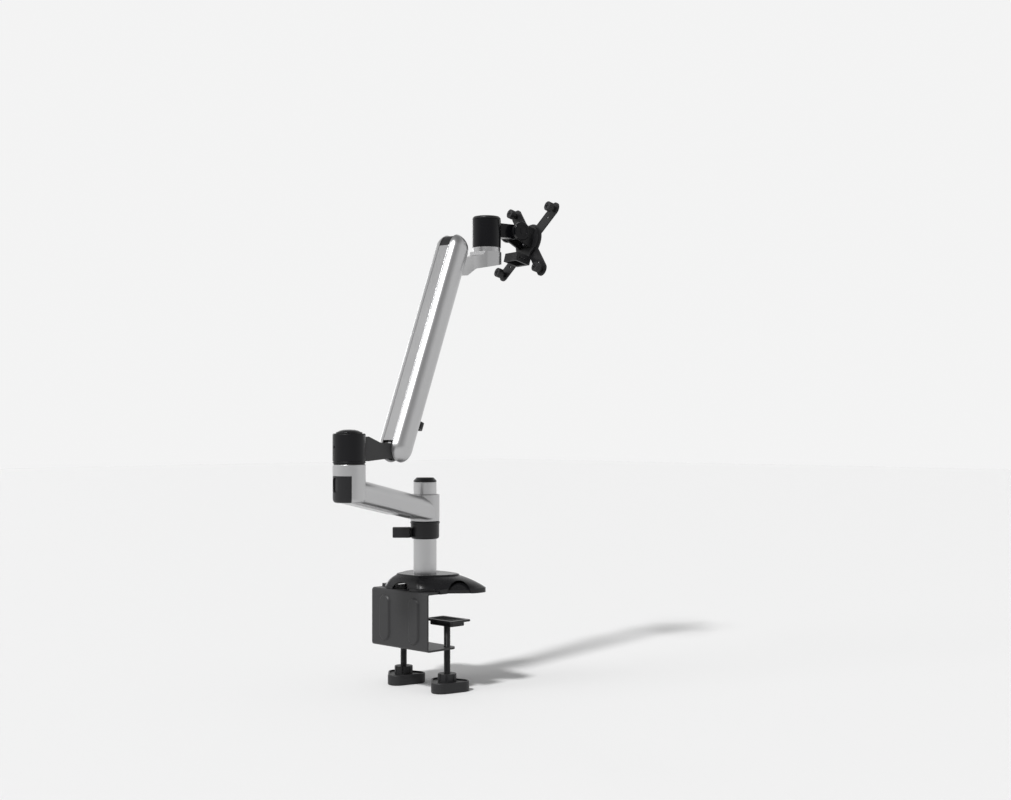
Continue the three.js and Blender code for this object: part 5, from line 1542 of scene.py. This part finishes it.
def tilt_bracket():
    base = moved(cross_bar(BASE_RADIUS, BASE_BACK, BASE_FACE, FINE), 0, 0, -PLATE_DROP)
    apron = block(-CHEEK_OUTER, CHEEK_OUTER, BASE_BACK, BASE_FACE, BOX_LOW, 0)
    box = block(-CHEEK_OUTER, CHEEK_OUTER, BOX_BACK, BASE_FACE - BOX_SET_BACK, BOX_LOW, BOX_HIGH)
    room_span = (-CHEEK_INNER, CHEEK_INNER, BOX_BACK + BOX_WALL, BASE_BACK)
    hole_height = (BOX_LOW + BOX_HIGH) / 2
    holes = [moved(long_bar(BOX_HOLE, 0, NEAR, steps=16), 0, y, hole_height) for y in BOX_HOLE_PLACES]
    bracket = cut(
        joined(base, apron, box, cheek(CHEEK_INNER, CHEEK_OUTER), cheek(-CHEEK_OUTER, -CHEEK_INNER)),
        long_bar(TILT_AXLE + GAP, -NEAR, NEAR),
        moved(cross_bar(PLATE_AXLE + GAP, 0, FAR), 0, 0, -PLATE_DROP),
        block(*room_span, BOX_LOW - FAR, BOX_HIGH - BOX_WALL),
        *holes,
    )
    # The yoke's darker finish is painted shade.
    piece("tilt_yoke", bracket, TILT, "tilt", "shade", "tilt_bracket", edge=0.5)
    bolt = long_bar(TILT_AXLE, -DISC_NEAR, DISC_NEAR)
    piece("tilt_bolt", bolt, TILT, "tilt", "zinc", "tilt_axle", edge=0.4)


def tilt_disc(side, name, node):
    disc = turned(eased([
        (0, DISC_NEAR),
        (DISC, DISC_NEAR),
        (DISC, DISC_FAR - DISC_BEVEL),
        (DISC - DISC_BEVEL, DISC_FAR),
        (0, DISC_FAR),
    ], radius=0.5))
    floor = DISC_FAR - DISH_DEPTH
    dish = turned([(0, floor), (DISH, floor), (DISH_RIM, DISC_FAR + 1), (0, DISC_FAR + 1)], MEDIUM)
    stud = turned([
        (0, DISC_FAR - 1),
        (STUD, DISC_FAR - 1),
        (STUD, DISC_FAR - STUD_BEVEL / 2),
        (STUD - STUD_BEVEL, DISC_FAR),
        (0, DISC_FAR),
    ], HEXAGON)
    seat = DISC_NEAR + GAP
    disc = cut(swung(cut(disc, dish), 90 * side, "Y"), long_bar(TILT_AXLE + GAP, -seat, seat))
    disc = joined(disc, swung(stud, 90 * side, "Y"))
    piece(name, disc, TILT, "tilt", "gloss", node, edge=0.2)


tilt_bracket()
tilt_disc(1, "tilt_knob_right", "tilt_disc_right")
tilt_disc(-1, "tilt_knob_left", "tilt_disc_left")

# Plate and its thumbscrews, seen from the plate's front face

PLATE_FRONT = 0
PLATE_BACK = -2.5
PLATE_ARM_HALF = 10.5
PLATE_CENTRE = 30
PLATE_HOLE = 2.3
LARGE_HALF = 50
SMALL_HALF = 37.5
PLATE_CORNERS = [(side_x, side_z) for side_x in (1, -1) for side_z in (1, -1)]
RIVET_SINK = 7.1
RIVET_FRONT = 6.5
RIVET_HEAD = 7.5
RIVET_BEVEL = 0.4
RIVET_LOW = -12.1
RIVET_HEAD_TOP = -7.1
THUMB = 7.5
THUMB_LOW = PLATE_BACK - GAP - 14
THUMB_HIGH = PLATE_BACK - GAP - 5
THUMB_NECK = 4.5
THUMB_SHANK = 2
THUMB_TIP = 6
THUMB_BEVEL = 0.4
THUMB_FLUTE = 0.7
THUMB_FLUTE_X = 7.7
THUMB_FLUTE_TURN = 20
THUMB_SLOT_REACH = 4.4
THUMB_SLOT_HALF = 0.8
THUMB_SLOT_DEPTH = 1.4


def screen_plate():
    reach = LARGE_HALF * math.sqrt(2)
    outline = arc(reach, 0, PLATE_ARM_HALF, -90, 90, steps=16)
    outline += arc(-reach, 0, PLATE_ARM_HALF, 90, 270, steps=16)
    straps = [swung(sideways(outline, PLATE_BACK, PLATE_FRONT), turn, "Y") for turn in (45, -45)]
    holes = []
    for side_x, side_z in PLATE_CORNERS:
        for half in (LARGE_HALF, SMALL_HALF):
            holes.append(pin_bar(PLATE_HOLE, NEAR, side_x * half, side_z * half))
    sink = turned([
        (0, PLATE_BACK - 1),
        (PLATE_AXLE + GAP, PLATE_BACK - 1),
        (PLATE_AXLE + GAP, PLATE_BACK),
        (RIVET_SINK, PLATE_FRONT),
        (RIVET_SINK, 1),
        (0, 1),
    ], MEDIUM)
    disc = cross_bar(PLATE_CENTRE, PLATE_BACK, PLATE_FRONT, FINE)
    plate = cut(joined(disc, *straps), *holes, swung(sink, -90, "X"))
    # The plate's darker finish is painted shade.
    piece("screen_cross_plate", plate, PLATE, "plate", "shade", "vesa_plate", edge=0.5)
    rivet = turned([
        (0, RIVET_LOW),
        (RIVET_HEAD - RIVET_BEVEL, RIVET_LOW),
        (RIVET_HEAD, RIVET_LOW + RIVET_BEVEL),
        (RIVET_HEAD, RIVET_HEAD_TOP),
        (PLATE_AXLE, RIVET_HEAD_TOP),
        (PLATE_AXLE, PLATE_BACK),
        (RIVET_FRONT, -GAP),
        (0, -GAP),
    ], MEDIUM)
    piece("plate_rivet", swung(rivet, -90, "X"), PLATE, "plate", "zinc", "plate_pivot", edge=0.2)
    for number, (side_x, side_z) in enumerate(PLATE_CORNERS, 1):
        thumbscrew(number, side_x * LARGE_HALF, side_z * LARGE_HALF)


def thumbscrew(number, x, z):
    body = turned(eased([
        (0, THUMB_LOW),
        (THUMB, THUMB_LOW),
        (THUMB, THUMB_HIGH),
        (THUMB_NECK, THUMB_HIGH),
        (THUMB_NECK, PLATE_BACK - GAP),
        (THUMB_SHANK, PLATE_BACK - GAP),
        (THUMB_SHANK, THUMB_TIP - THUMB_BEVEL),
        (THUMB_SHANK - THUMB_BEVEL, THUMB_TIP),
        (0, THUMB_TIP),
    ], radius=0.9), MEDIUM)
    flutes = []
    for turn in range(0, 360, THUMB_FLUTE_TURN):
        flute = bar(THUMB_FLUTE, THUMB_LOW, THUMB_HIGH, steps=10)
        flutes.append(swung(moved(flute, THUMB_FLUTE_X), turn, "Z"))
    reach, half = THUMB_SLOT_REACH, THUMB_SLOT_HALF
    depth = (THUMB_LOW - 1, THUMB_LOW + THUMB_SLOT_DEPTH)
    slots_across = (block(-reach, reach, -half, half, *depth), block(-half, half, -reach, reach, *depth))
    screw = swung(cut(body, *flutes, *slots_across), -90, "X")
    name = f"hand_screw_{number}"
    piece(name, moved(screw, x, 0, z), PLATE, "plate", "knob", f"thumbscrew_{number}", edge=0.2)


screen_plate()

# Camera, light and floor; each lamp has a direction, a strength and a spread in degrees

CAMERA_PLACE = (1.596, -1.423, 0.2425)
CAMERA_TURN = 45
LENS = 50
SENSOR = 36
LENS_SHIFT = 0.02967
FLOOR_HEIGHT = -0.1475
FLOOR_HALF = 12
FLOOR_COLOUR = (0.80, 0.80, 0.80, 1)
LAMPS = {
    "key lamp": ((-0.174, 0.646, -0.743), 2.75, 7),
    "band lamp": ((0.204, 0.761, -0.616), 0.5, 24),
    "edge lamp": ((0.95, -0.27, -0.15), 0.16, 15),
}
AMBIENT = 0.36
BACKDROP_BRIGHT = 0.90
BACKDROP_DIM = 0.42
DIM_SIDE = (math.sqrt(0.5), -math.sqrt(0.5), 0)
DIM_FADE = (-0.1, 0.9)
CEILING_SHARE = 0.25
CEILING_FADE = (0.3, 0.9)


def camera():
    lens = bpy.data.cameras.new("camera")
    lens.lens = LENS
    lens.sensor_width = SENSOR
    lens.shift_y = LENS_SHIFT
    lens.clip_end = FLOOR_HALF * 2.5
    made = placed("camera", lens)
    made.location = CAMERA_PLACE
    made.rotation_euler = (math.radians(90), 0, math.radians(CAMERA_TURN))
    bpy.context.scene.camera = made


def distant_lamp(name, direction, strength, spread):
    lamp = bpy.data.lights.new(name, "SUN")
    lamp.energy = strength
    lamp.angle = math.radians(spread)
    made = placed(name, lamp)
    made.rotation_euler = Vector(direction).to_track_quat("-Z", "Y").to_euler()


def soft_fade(tree, value, span, start, end):
    """A smooth change from start to end while a value crosses a span."""
    low, high = span
    sockets = {"Value": value, "From Min": low, "From Max": high, "To Min": start, "To Max": end}
    return add_node(tree, "MapRange", sockets, interpolation_type="SMOOTHSTEP")["Result"]


def studio_world():
    """A pale backdrop, dimmer overhead and on one side, seen by the camera and by shiny surfaces."""
    world = bpy.data.worlds.new("studio")
    bpy.context.scene.world = world
    world.use_nodes = True
    tree = world.node_tree
    place = add_node(tree, "TexCoord")["Generated"]
    facing = add_node(tree, "VectorMath", {0: place, 1: DIM_SIDE}, operation="DOT_PRODUCT")["Value"]
    height = add_node(tree, "SeparateXYZ", {0: place})["Z"]
    side = soft_fade(tree, facing, DIM_FADE, BACKDROP_BRIGHT, BACKDROP_DIM)
    ceiling = soft_fade(tree, height, CEILING_FADE, 1.0, CEILING_SHARE)
    backdrop = calc(tree, "MULTIPLY", side, ceiling)
    ray = add_node(tree, "LightPath")
    glossy = calc(tree, "MAXIMUM", ray["Is Glossy Ray"], ray["Is Transmission Ray"])
    seen = calc(tree, "MAXIMUM", ray["Is Camera Ray"], glossy)
    strength = add_node(tree, "Mix", {"Factor": seen, "A": AMBIENT, "B": backdrop})
    light = {"Color": (1, 1, 1, 1), "Strength": strength["Result"]}
    feed(tree, tree.nodes["Background"], light)


def studio_floor():
    floor = bmesh.new()
    middle = Matrix.Translation((0, 0, FLOOR_HEIGHT))
    bmesh.ops.create_grid(floor, x_segments=2, y_segments=2, size=FLOOR_HALF, matrix=middle)
    made = placed("studio_floor", mesh_from(floor, "studio_floor"))
    material = bpy.data.materials.new("pale floor")
    material.use_nodes = True
    tree = material.node_tree
    paint = {"Base Color": FLOOR_COLOUR, "Roughness": 0.8, "Specular IOR Level": 0.2}
    feed(tree, tree.nodes["Principled BSDF"], paint)
    made.data.materials.append(material)


camera()
for lamp_name, (direction, strength, spread) in LAMPS.items():
    distant_lamp(lamp_name, direction, strength, spread)
studio_world()
studio_floor()

scene = bpy.context.scene
scene.view_settings.view_transform = "Standard"
